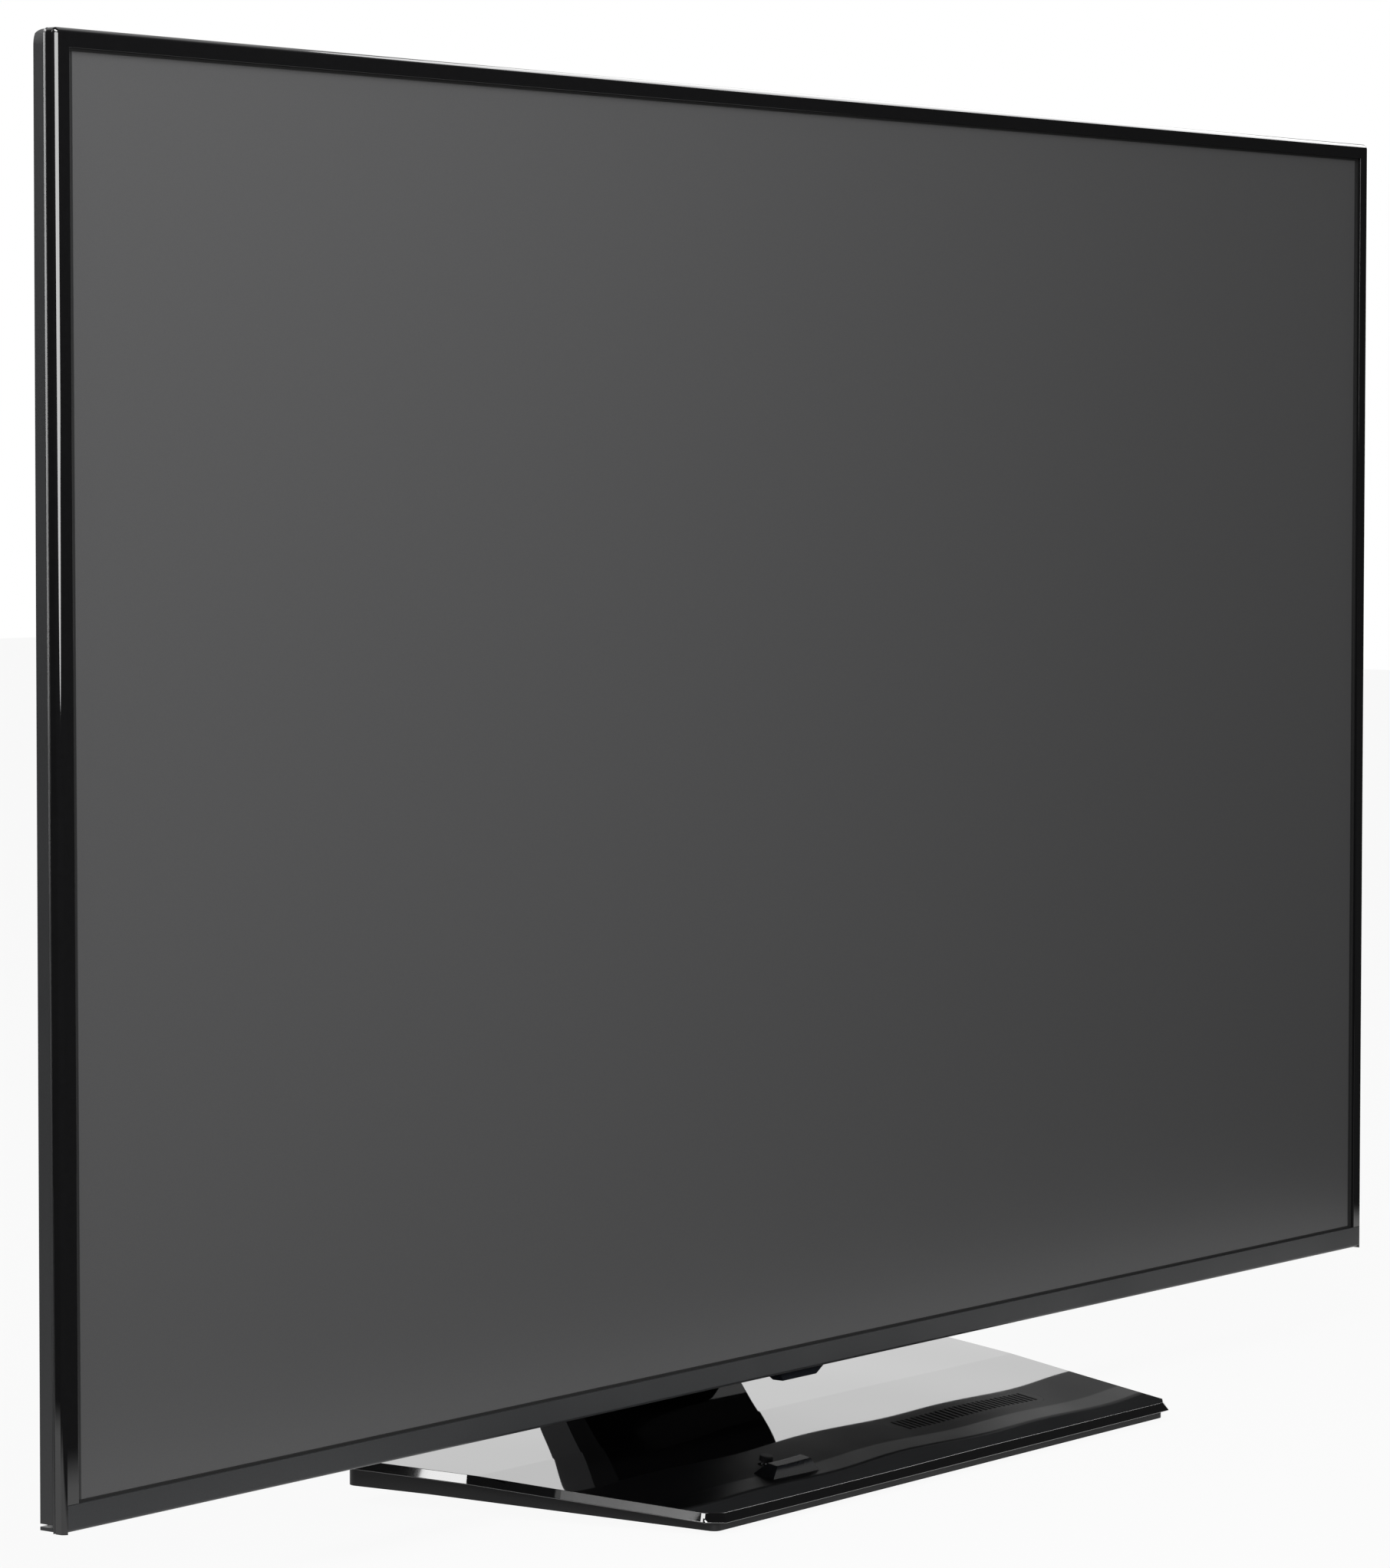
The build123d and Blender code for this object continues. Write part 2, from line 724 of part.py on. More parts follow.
def ac_inlet():
    """Two-pin mains inlet: a hollow moulding with its pins, from the board to the cover."""
    x0, x1, z0, z1 = inlet_box()
    g = seam
    body = block(x0 + g, x1 - g, board_back, full_depth, z0 + g, z1 - g)
    w = inlet_wall
    mouth = block(x0 + w, x1 - w, full_depth - inlet_mouth, full_depth + 1, z0 + w, z1 - w)
    middle_x, middle_z = (x0 + x1) / 2, (z0 + z1) / 2
    pins = [rod_y(middle_x + side * inlet_pin_pitch / 2, middle_z, full_depth - inlet_mouth - 1,
                  full_depth - 5, inlet_pin_radius) for side in (-1, 1)]
    return body - mouth + pins


def socket_places():
    """Rectangular sockets in the recess: x, z, width and height of each."""
    x0, x1, z0, z1 = bay_box()
    places = [(x0 + 22, z0 + 24 + 30 * i, 20, 9) for i in range(3)]
    places += [(x0 + 22, z0 + 118 + 24 * i, 18, 10) for i in range(2)]
    places.append((x0 + 66, z0 + 30, 18, 16))
    places.append((x0 + 66, z0 + 66, 12, 12))
    return places


def socket(x, z, w, h):
    """A socket's metal shell, open at the back."""
    end = full_depth - bay_depth
    wall = socket_wall
    body = block(x - w / 2, x + w / 2, board_back, end, z - h / 2, z + h / 2)
    return body - block(x - w / 2 + wall, x + w / 2 - wall, end - jack_depth, end + 1,
                        z - h / 2 + wall, z + h / 2 - wall)


def video_sockets():
    """Three flat video sockets."""
    return [socket(*p) for p in socket_places()[:3]]


def usb_sockets():
    """Two data sockets."""
    return [socket(*p) for p in socket_places()[3:5]]


def network_socket():
    """Network socket."""
    return socket(*socket_places()[5])


def optical_socket():
    """Optical sound output."""
    return socket(*socket_places()[6])


def antenna_place():
    """Antenna connector: x, z and radius."""
    x0, x1, z0, z1 = bay_box()
    return x0 + 106, z0 + 60, 4.8


def antenna_socket():
    """Threaded antenna connector with its centre bore."""
    x, z, radius = antenna_place()
    end = full_depth - bay_depth + antenna_reach
    return rod_y(x, z, board_back, end, radius) - rod_y(x, z, end - 9, end + 1, 3.4) \
        + rod_y(x, z, end - 9.5, end - 4, 0.9)


def timing_shield():
    """Pressed lid over the timing board."""
    x0, x1, z0, z1 = tcon_box()
    x0, x1, z0, z1 = x0 + shield_side, x1 - shield_side, z0 + 12, z1 - 4
    w = shield_wall
    lid = block(x0, x1, board_back, board_back + shield_height, z0, z1)
    return lid - block(x0 + w, x1 - w, board_back - 1, board_back + shield_height - w, z0 + w, z1 - w)


def panel_flat_cables():
    """Two flat cables from the timing board down to the driver boards."""
    low = screen_rect(0)[1]
    flange_low = flange_rect()[1]
    x0, x1, z0, z1 = tcon_box()
    back = chassis_back + 0.5
    board_rear = flange_back + source_board_thickness + 0.2
    route = [(board_rear, low + 3), (board_rear, flange_low - 1),
             (back, flange_low + chassis_slope - 2), (back, z0 - 24),
             (board_back + 0.2, z0 - 8), (board_back + 0.2, z0 + 6)]
    strap = side_profile(ribbon(route, flat_cable_thickness), flat_cable_width / 2)
    return [Pos(side * (bracket_half_width + 22), 0, 0) * strap for side in (-1, 1)]


def main_flat_cable():
    """Flat cable from the main board to the timing board, arched over the gap."""
    a = board_box(main_board_x)[0] + 8
    b = tcon_box()[1] - 10
    z = floor_z + tcon_bottom + tcon_height / 2
    t = board_back
    low, high = t + flat_cable_thickness / 2, t + 4
    pts = [(a, low), (a - 8, low), (a - 14, high), (b + 14, high), (b + 6, low), (b - 2, low)]
    outline = Polygon(*ribbon(pts, flat_cable_thickness), align=None)
    shape = extrude(Plane.XY * outline, 12, both=True)
    return Pos(0, 0, z) * shape


def power_harness():
    """Wire bundle from the power board to the timing and main boards."""
    x0 = board_box(power_board_x)[1] - 6
    x1 = board_box(main_board_x)[0] + 6
    z = floor_z + board_bottom + board_height - 20
    y = board_back + harness_radius
    bends = ((x0 + 30, y + 5, z + 14), (x1 - 30, y + 5, z + 14))
    wire = FilletPolyline((x0, y, z), *bends, (x1, y, z), radius=18)
    return sweep(Plane(wire @ 0, z_dir=wire % 0) * Circle(harness_radius), path=wire)


def wifi_module():
    """Small radio board on the chassis, with its shield can."""
    x, z = -bulge_half_width + 60, floor_z + 400
    card = block(x - 20, x + 20, chassis_back, chassis_back + 1.6, z - 14, z + 14)
    return card + block(x - 12, x + 14, chassis_back + 1.6, chassis_back + 4.2, z - 10, z + 10)


# Speakers


def speaker_box(side):
    """Sound box with an open floor below its driver."""
    x, y = grille_centre(side)
    low = floor_z + cover_wall + grille_gasket
    w, d, h = speaker_length / 2, speaker_depth / 2, speaker_height
    t = speaker_wall
    shell = block(x - w, x + w, y - d, y + d, low, low + h)
    shell -= block(x - w + t, x + w - t, y - d + t, y + d - t, low + t, low + h - t)
    return shell - extrude(Pos(x, y, low - 1) * SlotOverall(92, driver_width() - 3), t + 2)


def driver_width():
    """Short width of the oval driver, which fills the box's floor."""
    return speaker_depth - 2 * speaker_wall - 1


def speaker_driver(side):
    """Oval driver: frame, magnet and back plate."""
    x, y = grille_centre(side)
    low = floor_z + cover_wall + grille_gasket + speaker_wall
    ring = extrude(Pos(x, y, low) * SlotOverall(driver_length, driver_width()), 2)
    ring -= extrude(Pos(x, y, low - 1) * SlotOverall(cone_length, driver_width() - cone_margin), 4)
    basket = extrude(Pos(x, y, low + 2) * SlotOverall(driver_length - 6, driver_width() - 2), 10)
    basket -= extrude(Pos(x, y, low + 1) * SlotOverall(cone_length, driver_width() - cone_margin), 9)
    return ring + basket + block(x - 16, x + 16, y - 8, y + 8, low + 12, low + 22)


def speaker_cone(side):
    """Paper cone with its dust cap, glued in the driver's ring."""
    x, y = grille_centre(side)
    low = floor_z + cover_wall + grille_gasket + speaker_wall
    rim = SlotOverall(cone_length, driver_width() - cone_margin)
    cone = extrude(Pos(x, y, low + 0.5) * rim, 0.8)
    cap = extrude(Pos(x, y, low + 1.3) * SlotOverall(40, 8), 3)
    return cone + cap


def speaker_gaskets():
    """Foam rings between the cover's floor and the sound boxes."""
    made = []
    for side in (-1, 1):
        x, y = grille_centre(side)
        rim = SlotOverall(speaker_length - 6, speaker_depth - 1)
        ring = extrude(Pos(x, y, floor_z + cover_wall) * rim, grille_gasket)
        made.append(ring - extrude(Pos(x, y, floor_z) * grille_outline(0.4), 9))
    return made


def speaker_grille(side):
    """Grille set in the cover's floor, with slats that run front to back."""
    x, y = grille_centre(side)
    plate = extrude(Pos(x, y, floor_z) * grille_outline(-0.1), cover_wall)
    pitch = (grille_length - grille_width) / (grille_slots - 1)
    half = grille_width / 2 - slat_reach
    cuts = [block(x - grille_length / 2 + grille_width / 2 + i * pitch - pitch * 0.28,
                  x - grille_length / 2 + grille_width / 2 + i * pitch + pitch * 0.28,
                  y - half, y + half, floor_z - 1, floor_z + cover_wall + 1) for i in range(grille_slots)]
    return plate - cuts


# Control unit


def control_lens():
    """Faceted dark window under the bottom edge, hollow above."""
    y = lens_front + lens_depth / 2
    w, d, t = lens_width / 2, lens_depth / 2, lens_wall

    def form(inset, z_low):
        """Tapered block with every side moved in by inset."""
        outlines = []
        for a, b, shift, z in ((w - inset, d - inset, 0, floor_z),
                               (w - lens_taper[0] - inset, d - lens_taper[1] - inset, -1, z_low)):
            corners = ((-a, -b), (a, -b), (a, b), (-a, b))
            outlines.append([(px, y + shift + py, z) for px, py in corners])
        return flat_sided(*outlines)
    body = form(0, floor_z - lens_drop)
    body = fillet(body.edges().sort_by(Axis.Z)[:4], 1.0)
    return body - form(t, floor_z - lens_drop + t)


def infrared_receiver():
    """Receiver hanging from its small board through the strip's slot."""
    y = lens_front + lens_depth / 2 - 1
    card_z = floor_z + strip_floor
    card = block(-22, 22, y - 5, edge_depth - seam, card_z, card_z + 1.4)
    return card + block(-3, 3, y - 2.4, y + 2.4, floor_z - 3.4, card_z)


def stick_housing():
    """Open box that holds the stick's ring on two bearings."""
    low = floor_z + cover_wall
    high = floor_z + stick_pivot + housing_height
    box = block(-12, 12, stick_y - 12, stick_y + 12, low, high)
    box -= block(-10.5, 10.5, stick_y - 9.5, stick_y + 9.5, low - 1, high + 1)
    z = floor_z + stick_pivot
    for side in (-1, 1):
        hole = rod_y(0, z, stick_y + side * 9, stick_y + side * 13, pin_radius + pin_clearance)
        box -= hole
    return box


def stick_ring():
    """Outer ring, tilting from side to side on its two pins."""
    z = floor_z + stick_pivot
    ring = rod_z(0, stick_y, z - 1.5, z + 1.5, ring_radius) - rod_z(0, stick_y, z - 2, z + 2, ring_bore)
    for side in (-1, 1):
        ring += rod_y(0, z, stick_y + side * 7.6, stick_y + side * 11, pin_radius)
    return ring - rod_x(stick_y, z, -9, 9, pin_radius + pin_clearance)


def stick_hub():
    """Inner hub, tilting to and fro in the ring, with a bore for the stem."""
    z = floor_z + stick_pivot
    hub = rod_z(0, stick_y, z - hub_half, z + hub_half, hub_radius)
    for side in (-1, 1):
        hub += rod_x(stick_y, z, side * 3.8, side * 7.2, pin_radius)
    return hub - rod_z(0, stick_y, z - 4, z + 4, stem_radius + pin_clearance)


def stick_knob():
    """Finger knob on a stem, kept in the hub by a collar."""
    z = floor_z + stick_pivot
    top = floor_z - knob_gap
    knob = rod_z(0, stick_y, top - knob_height, top, knob_radius)
    knob = fillet(knob.edges().sort_by(Axis.Z)[0], 0.9)
    stem = rod_z(0, stick_y, top, z + collar_height, stem_radius)
    return knob + stem + rod_z(0, stick_y, z + hub_half + 0.05, z + collar_height, stem_radius + 1)


def stick_spring():
    """Coil spring round the stem, between the hub and the knob."""
    low = floor_z - knob_gap + spring_wire + 0.05
    high = floor_z + stick_pivot - hub_half - spring_wire - 0.05
    path = Helix(pitch=(high - low) / spring_turns, height=high - low, radius=spring_radius)
    coil = sweep(Plane(path @ 0, z_dir=path % 0) * Circle(spring_wire), path=path)
    return Pos(0, stick_y, low) * coil


def control_board():
    """Small board over the stick, with its push switch."""
    high = floor_z + stick_pivot + housing_height
    card = block(-14, 14, stick_y - 12, stick_y + 12, high, high + 1.4)
    return card + block(-3, 3, stick_y - 3, stick_y + 3, high - 2.4, high)


# Stand


def rise(y, tilt, back_tilt, fold):
    """Height gained from the base's front edge to y along a slope with one fold."""
    fold_y = base_front + fold
    return (min(y, fold_y) - base_front) * tan(radians(tilt)) + max(0, y - fold_y) * tan(radians(back_tilt))


def lip_height(y):
    """Lower edge of the glossy cover at y."""
    return tray_lift + tray_front_height + rise(y, base_tilt, base_back_tilt, base_fold)


def tray_low(y):
    """Underside of the tray at y."""
    return tray_lift + rise(y, tray_tilt, tray_back_tilt, tray_fold)


def tray_floor(y):
    """Upper face of the tray's floor at y."""
    return tray_low(y) + tray_wall


def steel_top(y):
    """Upper face of the steel plate at y."""
    return tray_floor(y) + steel_thickness


def base_top(y):
    """Height of the base cover's top at y, along the middle."""
    return lip_height(y) + bevel_height * (1 - max(0, y - base_back + rear_bevel) / rear_bevel)


def base_layer(low, high, y0, y1, half):
    """Slab of the base between two heights that are functions of y."""
    folds = sorted({base_front + base_fold, base_front + tray_fold, base_back - rear_bevel})
    ys = [y0] + [y for y in folds if y0 < y < y1] + [y1]
    return side_profile([(y, low(y)) for y in ys] + [(y, high(y)) for y in ys[::-1]], half)


def half_base(y, inset):
    """Half of the base's width at y, with its side moved inwards by inset."""
    lean = radians(base_lean)
    return base_front_width / 2 + (y - base_front) * tan(lean) - inset / cos(lean)


def base_prism(front_inset, side_inset, back_inset, corner):
    """Upright prism on the base's trapezoid plan, moved inwards on each side, with rounded corners."""
    front, back = base_front + front_inset, base_back - back_inset
    near, far = half_base(front, side_inset), half_base(back, side_inset)
    plan = Polygon((-near, front), (near, front), (far, back), (-far, back), align=None)
    return extrude(fillet(plan.vertices(), corner), display_lift)


def cover_edge(inset, height):
    """Right-hand edge line of the cover from front to back, moved inwards by inset and up by height."""
    front = base_front + inset
    short = base_chamfer - inset * chamfer_shrink
    side = front + short
    plan = [(half_base(front, inset) - short, front), (half_base(side, inset), side),
            (half_base(base_front + base_fold, inset), base_front + base_fold)]
    return [(x, y, lip_height(y) + height) for x, y in plan]


def mirrored(points):
    """The same points on the left."""
    return [(-x, y, z) for x, y, z in points]


def base_cover():
    """Glossy cover with flat bevels, corners and one fold across, hollow below."""
    lip, crease = cover_edge(0, 0), cover_edge(bevel_inset, bevel_height)
    rear_y = base_back - rear_bevel
    lip_end = (half_base(base_back, 0), base_back, lip_height(base_back))
    crease_end = (half_base(rear_y, bevel_inset), rear_y, lip_height(rear_y) + bevel_height)
    faces = []
    for side in (lambda points: points, mirrored):
        low, high = side(lip), side(crease)
        low_end, high_end = side([lip_end])[0], side([crease_end])[0]
        faces.append([low[1], low[2], high[2], high[1]])
        faces.append([low[2], low_end, high_end, high[2]])
    left_lip, left_crease = mirrored(lip), mirrored(crease)
    faces.append([left_lip[0], lip[0], crease[0], left_crease[0]])
    faces.append(lip + left_lip[::-1])
    faces.append([lip[2], lip_end] + mirrored([lip_end, lip[2]]))
    faces.append(crease + left_crease[::-1])
    faces.append([crease[2], crease_end] + mirrored([crease_end, crease[2]]))
    faces.append([crease_end, lip_end] + mirrored([lip_end, crease_end]))
    corners = [[low[0], low[1], high[1], high[0]] for low, high in ((lip, crease), (left_lip, left_crease))]
    for a, b, c, d in corners:
        faces += [[a, b, c], [a, c, d]]
    shell = Solid(Shell([Face(Wire.make_polygon(points, close=True)) for points in faces]))
    walls = bevel_inset + base_skin
    room = base_prism(walls, walls, walls, base_skin)
    room &= base_layer(lambda y: lip_height(y) - base_skin, lambda y: base_top(y) - base_skin,
                       base_front, base_back, neck_width * 3)
    notch = block(-core_width / 2 - tongue_play, core_width / 2 + tongue_play, neck_foot + neck_skin,
                  base_back + 1, 0, display_lift)
    return shell - room - notch


def base_tray():
    """Matte tray below the cover, with a slot at the back for the neck's tongue."""
    outer = base_prism(tray_front_inset, tray_side_inset, tray_back_inset, tray_corner)
    outer &= base_layer(tray_low, lip_height, base_front, base_back, neck_width * 3)
    inner = base_prism(tray_front_inset + tray_wall, tray_side_inset + tray_wall, tray_back_inset + tray_wall,
                       tray_corner - tray_wall)
    inner &= base_layer(tray_floor, lambda y: lip_height(y) + 1, base_front, base_back, neck_width * 3)
    slot = base_layer(tray_floor, lambda y: display_lift, base_back - 2 * tray_corner, base_back + 1,
                      core_width / 2 + tongue_play)
    holes = [rod_z(x, y, 0, display_lift, bolt_radius + screw_play) for x, y in base_screw_places()]
    return outer - inner - slot - holes


def base_screw_places():
    """Four screws from below into the neck's tongue."""
    return [(sx * (core_width / 2 - screw_side), base_back - y) for sx in (-1, 1) for y in screw_rows]


def steel_plate():
    """Ballast and stiffening plate on the tray's floor."""
    plate = base_prism(steel_inset, steel_inset, steel_back_inset, tray_corner)
    plate &= base_layer(tray_floor, steel_top, base_front, base_back, neck_width * 3)
    holes = [rod_z(x, y, 0, display_lift, bolt_radius + screw_play) for x, y in base_screw_places()]
    return plate - holes


def neck_core():
    """Bent steel plate: tongue in the base, slanting web, and flange behind the display."""
    back = full_depth + core_thickness
    heel_y = neck_back - core_heel
    line = [(y, steel_top(y)) for y in (base_back - core_start, base_front + tray_fold, heel_y)]
    line += [(back, floor_z + neck_rise + core_bend), (back, floor_z + neck_top - core_thickness)]
    core = side_profile(plate_outline(line, core_thickness), core_width / 2)
    holes = [rod_y(x, z, full_depth - 1, back + 1, bolt_radius + screw_play) for x, z in neck_bolt_places()]
    holes += [rod_z(x, y, 0, steel_top(y) + 2 * core_thickness, bolt_radius - thread_depth / 2)
              for x, y in base_screw_places()]
    return core - holes


def neck_outline():
    """Side view of the neck's skin, outside."""
    low = heel_foot_height
    behind = base_back + neck_gap
    front, cap = full_depth + neck_gap, full_depth + neck_cap
    face = [(neck_foot, base_top(neck_foot) + neck_gap), (front, floor_z + neck_rise), (front, floor_z + neck_top)]
    rear = [(cap, floor_z + neck_top), (cap + neck_spread, floor_z + neck_rise + neck_shoulder)]
    rear += [(base_back + back, floor_z + up) for back, up in neck_knees]
    heel = [(neck_back, low + neck_heel_height), (neck_back, low), (behind, low)]
    return face + rear + heel + [(behind, base_top(base_back) + neck_gap)]


def neck_shell():
    """The neck's hollow skin before it is parted."""
    outer = Polygon(*neck_outline(), align=None)
    inner = offset(outer, -neck_skin, kind=Kind.INTERSECTION)
    half = neck_width / 2
    shell = extrude(Plane.YZ * outer, half, both=True)
    shell = shell - extrude(Plane.YZ * inner, half - neck_skin, both=True)
    room = core_width / 2 + tongue_play
    flange = block(-room, room, full_depth, full_depth + core_thickness + neck_gap,
                   floor_z + neck_rise + tongue_play, floor_z + neck_top - core_thickness + tongue_play)
    tongue = block(-room, room, neck_foot + tongue_play, base_back + neck_skin + tongue_play,
                   tray_floor(base_back), base_top(neck_foot) + 2 * neck_skin)
    return shell - flange - tongue


def neck_split():
    """Everything in front of the seam between the neck's two covers."""
    seam_y = neck_back - core_heel - core_thickness
    upper_y = full_depth + neck_cap / 2
    far = -display_lift
    return side_profile([(far, far), (seam_y, far), (seam_y, heel_foot_height + neck_heel_height),
                         (upper_y, floor_z + neck_rise + neck_cap), (upper_y, top_z), (far, top_z)], neck_width)


def neck_front_cover():
    """Glossy front half of the neck's skin."""
    return neck_shell() & neck_split()


def neck_rear_cover():
    """Rear half of the neck's skin, with its heel."""
    return neck_shell() - neck_split()


def stand_bracket():
    """Steel box section on the chassis that takes the neck's bolts."""
    low, high = floor_z + neck_rise + 4, floor_z + neck_top + 4
    w, t = bracket_half_width, bracket_wall
    tube = block(-w, w, chassis_back, full_depth - cover_wall, low, high)
    tube -= block(-w + t, w - t, chassis_back + t, full_depth - cover_wall - 2 * t, low - 1, high + 1)
    holes = [rod_y(x, z, full_depth - cover_wall - 3 * t, full_depth, bolt_radius + 0.1)
             for x, z in neck_bolt_places()]
    return tube - holes


def neck_bolts():
    """Bolts through the neck's flange into the bracket."""
    head = full_depth + core_thickness
    return [bolt_y(x, z, head, full_depth - cover_wall - 2 * bracket_wall, bolt_radius,
                   bolt_head_radius, bolt_head_height) for x, z in neck_bolt_places()]


def base_screws():
    """Screws from below through the tray and the plate into the tongue."""
    made = []
    for x, y in base_screw_places():
        seat = tray_low(y - bolt_head_radius)
        shank = rod_z(x, y, seat, steel_top(y) + core_thickness - thread_depth, bolt_radius - thread_depth)
        made.append(shank + rod_z(x, y, seat - base_screw_head, seat, bolt_head_radius))
    return made


def rubber_feet():
    """Four feet under the tray and two under the neck's heel, all level with the table."""
    made = []
    for y in (base_front + foot_front, base_back - foot_back):
        for side in (-1, 1):
            x = side * (half_base(y, 0) - foot_margin)
            foot = rod_z(x, y, 0, display_lift, foot_radius)
            made.append(foot & base_layer(lambda y: 0, tray_low, base_front, base_back, neck_width * 3))
    for side in (-1, 1):
        x = side * (neck_width / 2 - heel_foot_inset)
        made.append(rod_z(x, neck_back - foot_radius - neck_skin, 0, heel_foot_height, foot_radius))
    return made


parts = {
    "front_frame": front_frame(),
    "bottom_bezel_strip": bottom_bezel_strip(),
    "screen_gasket": screen_gasket(),
    "lcd_cell": lcd_cell(),
    "middle_frame": middle_frame(),
    "source_boards": source_boards(),
    "prism_sheet": screen_plate(ledge_back, prism_back, sheet_play),
    "diffuser_plate": screen_plate(prism_back, diffuser_back, sheet_play),
    "back_chassis": back_chassis(),
    "reflector_sheet": reflector_sheet(),
    "led_strips": led_strips(),
    "led_lenses": led_lenses(),
    "diffuser_posts": diffuser_posts(),
    "rear_cover": rear_cover(),
    "terminal_panel": terminal_panel(),
    "rear_cover_screws": rear_cover_screws(),
    "wall_mount_inserts": wall_mount_inserts(),
    "power_board": board(board_box(power_board_x)),
    "main_board": board(board_box(main_board_x)),
    "timing_board": board(tcon_box()),
    "board_standoffs": board_standoffs(),
    "board_screws": board_screws(),
    "power_transformers": power_transformers(),
    "power_capacitors": power_capacitors(),
    "heat_sinks": heat_sinks(),
    "ac_inlet": ac_inlet(),
    "video_sockets": video_sockets(),
    "usb_sockets": usb_sockets(),
    "network_socket": network_socket(),
    "optical_socket": optical_socket(),
    "antenna_socket": antenna_socket(),
    "timing_shield": timing_shield(),
    "panel_flat_cables": panel_flat_cables(),
    "main_flat_cable": main_flat_cable(),
    "power_harness": power_harness(),
    "wifi_module": wifi_module(),
    "left_speaker_box": speaker_box(-1),
    "right_speaker_box": speaker_box(1),
    "speaker_drivers": [speaker_driver(side) for side in (-1, 1)],
    "speaker_cones": [speaker_cone(side) for side in (-1, 1)],
    "speaker_gaskets": speaker_gaskets(),
    "speaker_grilles": [speaker_grille(side) for side in (-1, 1)],
    "control_lens": control_lens(),
    "infrared_receiver": infrared_receiver(),
    "stick_housing": stick_housing(),
    "stick_ring": stick_ring(),
    "stick_hub": stick_hub(),
    "stick_knob": stick_knob(),
    "stick_spring": stick_spring(),
    "control_board": control_board(),
    "base_cover": base_cover(),
    "base_tray": base_tray(),
    "steel_plate": steel_plate(),
    "neck_core": neck_core(),
    "neck_front_cover": neck_front_cover(),
    "neck_rear_cover": neck_rear_cover(),
    "stand_bracket": stand_bracket(),
    "neck_bolts": neck_bolts(),
    "base_screws": base_screws(),
    "rubber_feet": rubber_feet(),
}

os.makedirs("parts", exist_ok=True)
for name, shape in parts.items():
    if isinstance(shape, list):
        shape = Compound(children=shape)
    export_step(Pos(0, stand_shift, 0) * shape, "parts/" + name + ".step")
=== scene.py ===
"""A large flat-panel display on its table stand, dressed for a studio picture.

Metres, X to the viewer's right, Y into the display, Z up, as in the CAD model.
"""

import bpy
import numpy as np
from mathutils import Matrix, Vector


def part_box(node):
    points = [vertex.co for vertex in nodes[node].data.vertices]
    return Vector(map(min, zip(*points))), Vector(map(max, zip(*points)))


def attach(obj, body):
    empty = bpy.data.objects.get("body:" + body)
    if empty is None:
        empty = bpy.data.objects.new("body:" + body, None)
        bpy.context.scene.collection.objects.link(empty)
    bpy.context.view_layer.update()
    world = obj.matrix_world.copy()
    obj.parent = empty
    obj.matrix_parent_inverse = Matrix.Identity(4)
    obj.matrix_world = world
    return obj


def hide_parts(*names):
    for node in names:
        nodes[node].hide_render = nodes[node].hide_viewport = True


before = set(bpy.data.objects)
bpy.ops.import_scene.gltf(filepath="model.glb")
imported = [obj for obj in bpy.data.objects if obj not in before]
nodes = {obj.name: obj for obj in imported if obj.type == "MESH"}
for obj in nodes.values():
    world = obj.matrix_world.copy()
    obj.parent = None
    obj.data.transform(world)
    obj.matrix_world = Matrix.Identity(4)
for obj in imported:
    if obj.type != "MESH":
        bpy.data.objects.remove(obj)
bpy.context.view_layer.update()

# Camera
# The picture was taken from the left and a little above the middle of the screen with a long lens.
# Its place and angles come from the display's edges in the photograph.
eye = np.array((-2.8644, -2.0934, 0.6376))
yaw, pitch = np.radians((52.951, -3.325))
ahead = np.array((np.sin(yaw) * np.cos(pitch), np.cos(yaw) * np.cos(pitch), np.sin(pitch)))
right = np.array((np.cos(yaw), -np.sin(yaw), 0.0))
turn = np.eye(4)
turn[:3, :4] = np.column_stack((right, np.cross(right, ahead), -ahead, eye))
camera_data = bpy.data.cameras.new("studio_camera")
camera_data.sensor_width = 36.0
camera_data.lens = 127.22
camera_data.clip_end = 60.0
camera = bpy.data.objects.new("studio_camera", camera_data)
bpy.context.collection.objects.link(camera)
camera.matrix_world = Matrix(turn.tolist())
bpy.context.scene.camera = camera
bpy.context.scene.view_settings.view_transform = "Standard"


# Floor and room
# A white table top that the display stands on. Seen directly it is white and keeps the soft shadow,
# and in gloss it ends a little in front of the display and beside it, where the dark studio begins.
def link(tree, output, socket):
    """Joins two sockets of a node tree."""
    tree.links.new(output, socket)


def math_node(tree, kind, first, second):
    """One arithmetic node; each operand is a number or another node's output."""
    node = tree.nodes.new("ShaderNodeMath")
    node.operation = kind
    for socket, value in zip(node.inputs, (first, second)):
        if isinstance(value, (int, float)):
            socket.default_value = value
        else:
            link(tree, value, socket)
    return node.outputs[0]


def ramp(tree, value, start, end, low=0.0, high=1.0, kind="LINEAR"):
    """Turns a value that runs from start to end into one from low to high, level beyond both ends."""
    node = tree.nodes.new("ShaderNodeMapRange")
    node.interpolation_type = kind
    for title, number in (("From Min", start), ("From Max", end), ("To Min", low), ("To Max", high)):
        node.inputs[title].default_value = number
    link(tree, value, node.inputs["Value"])
    return node.outputs["Result"]


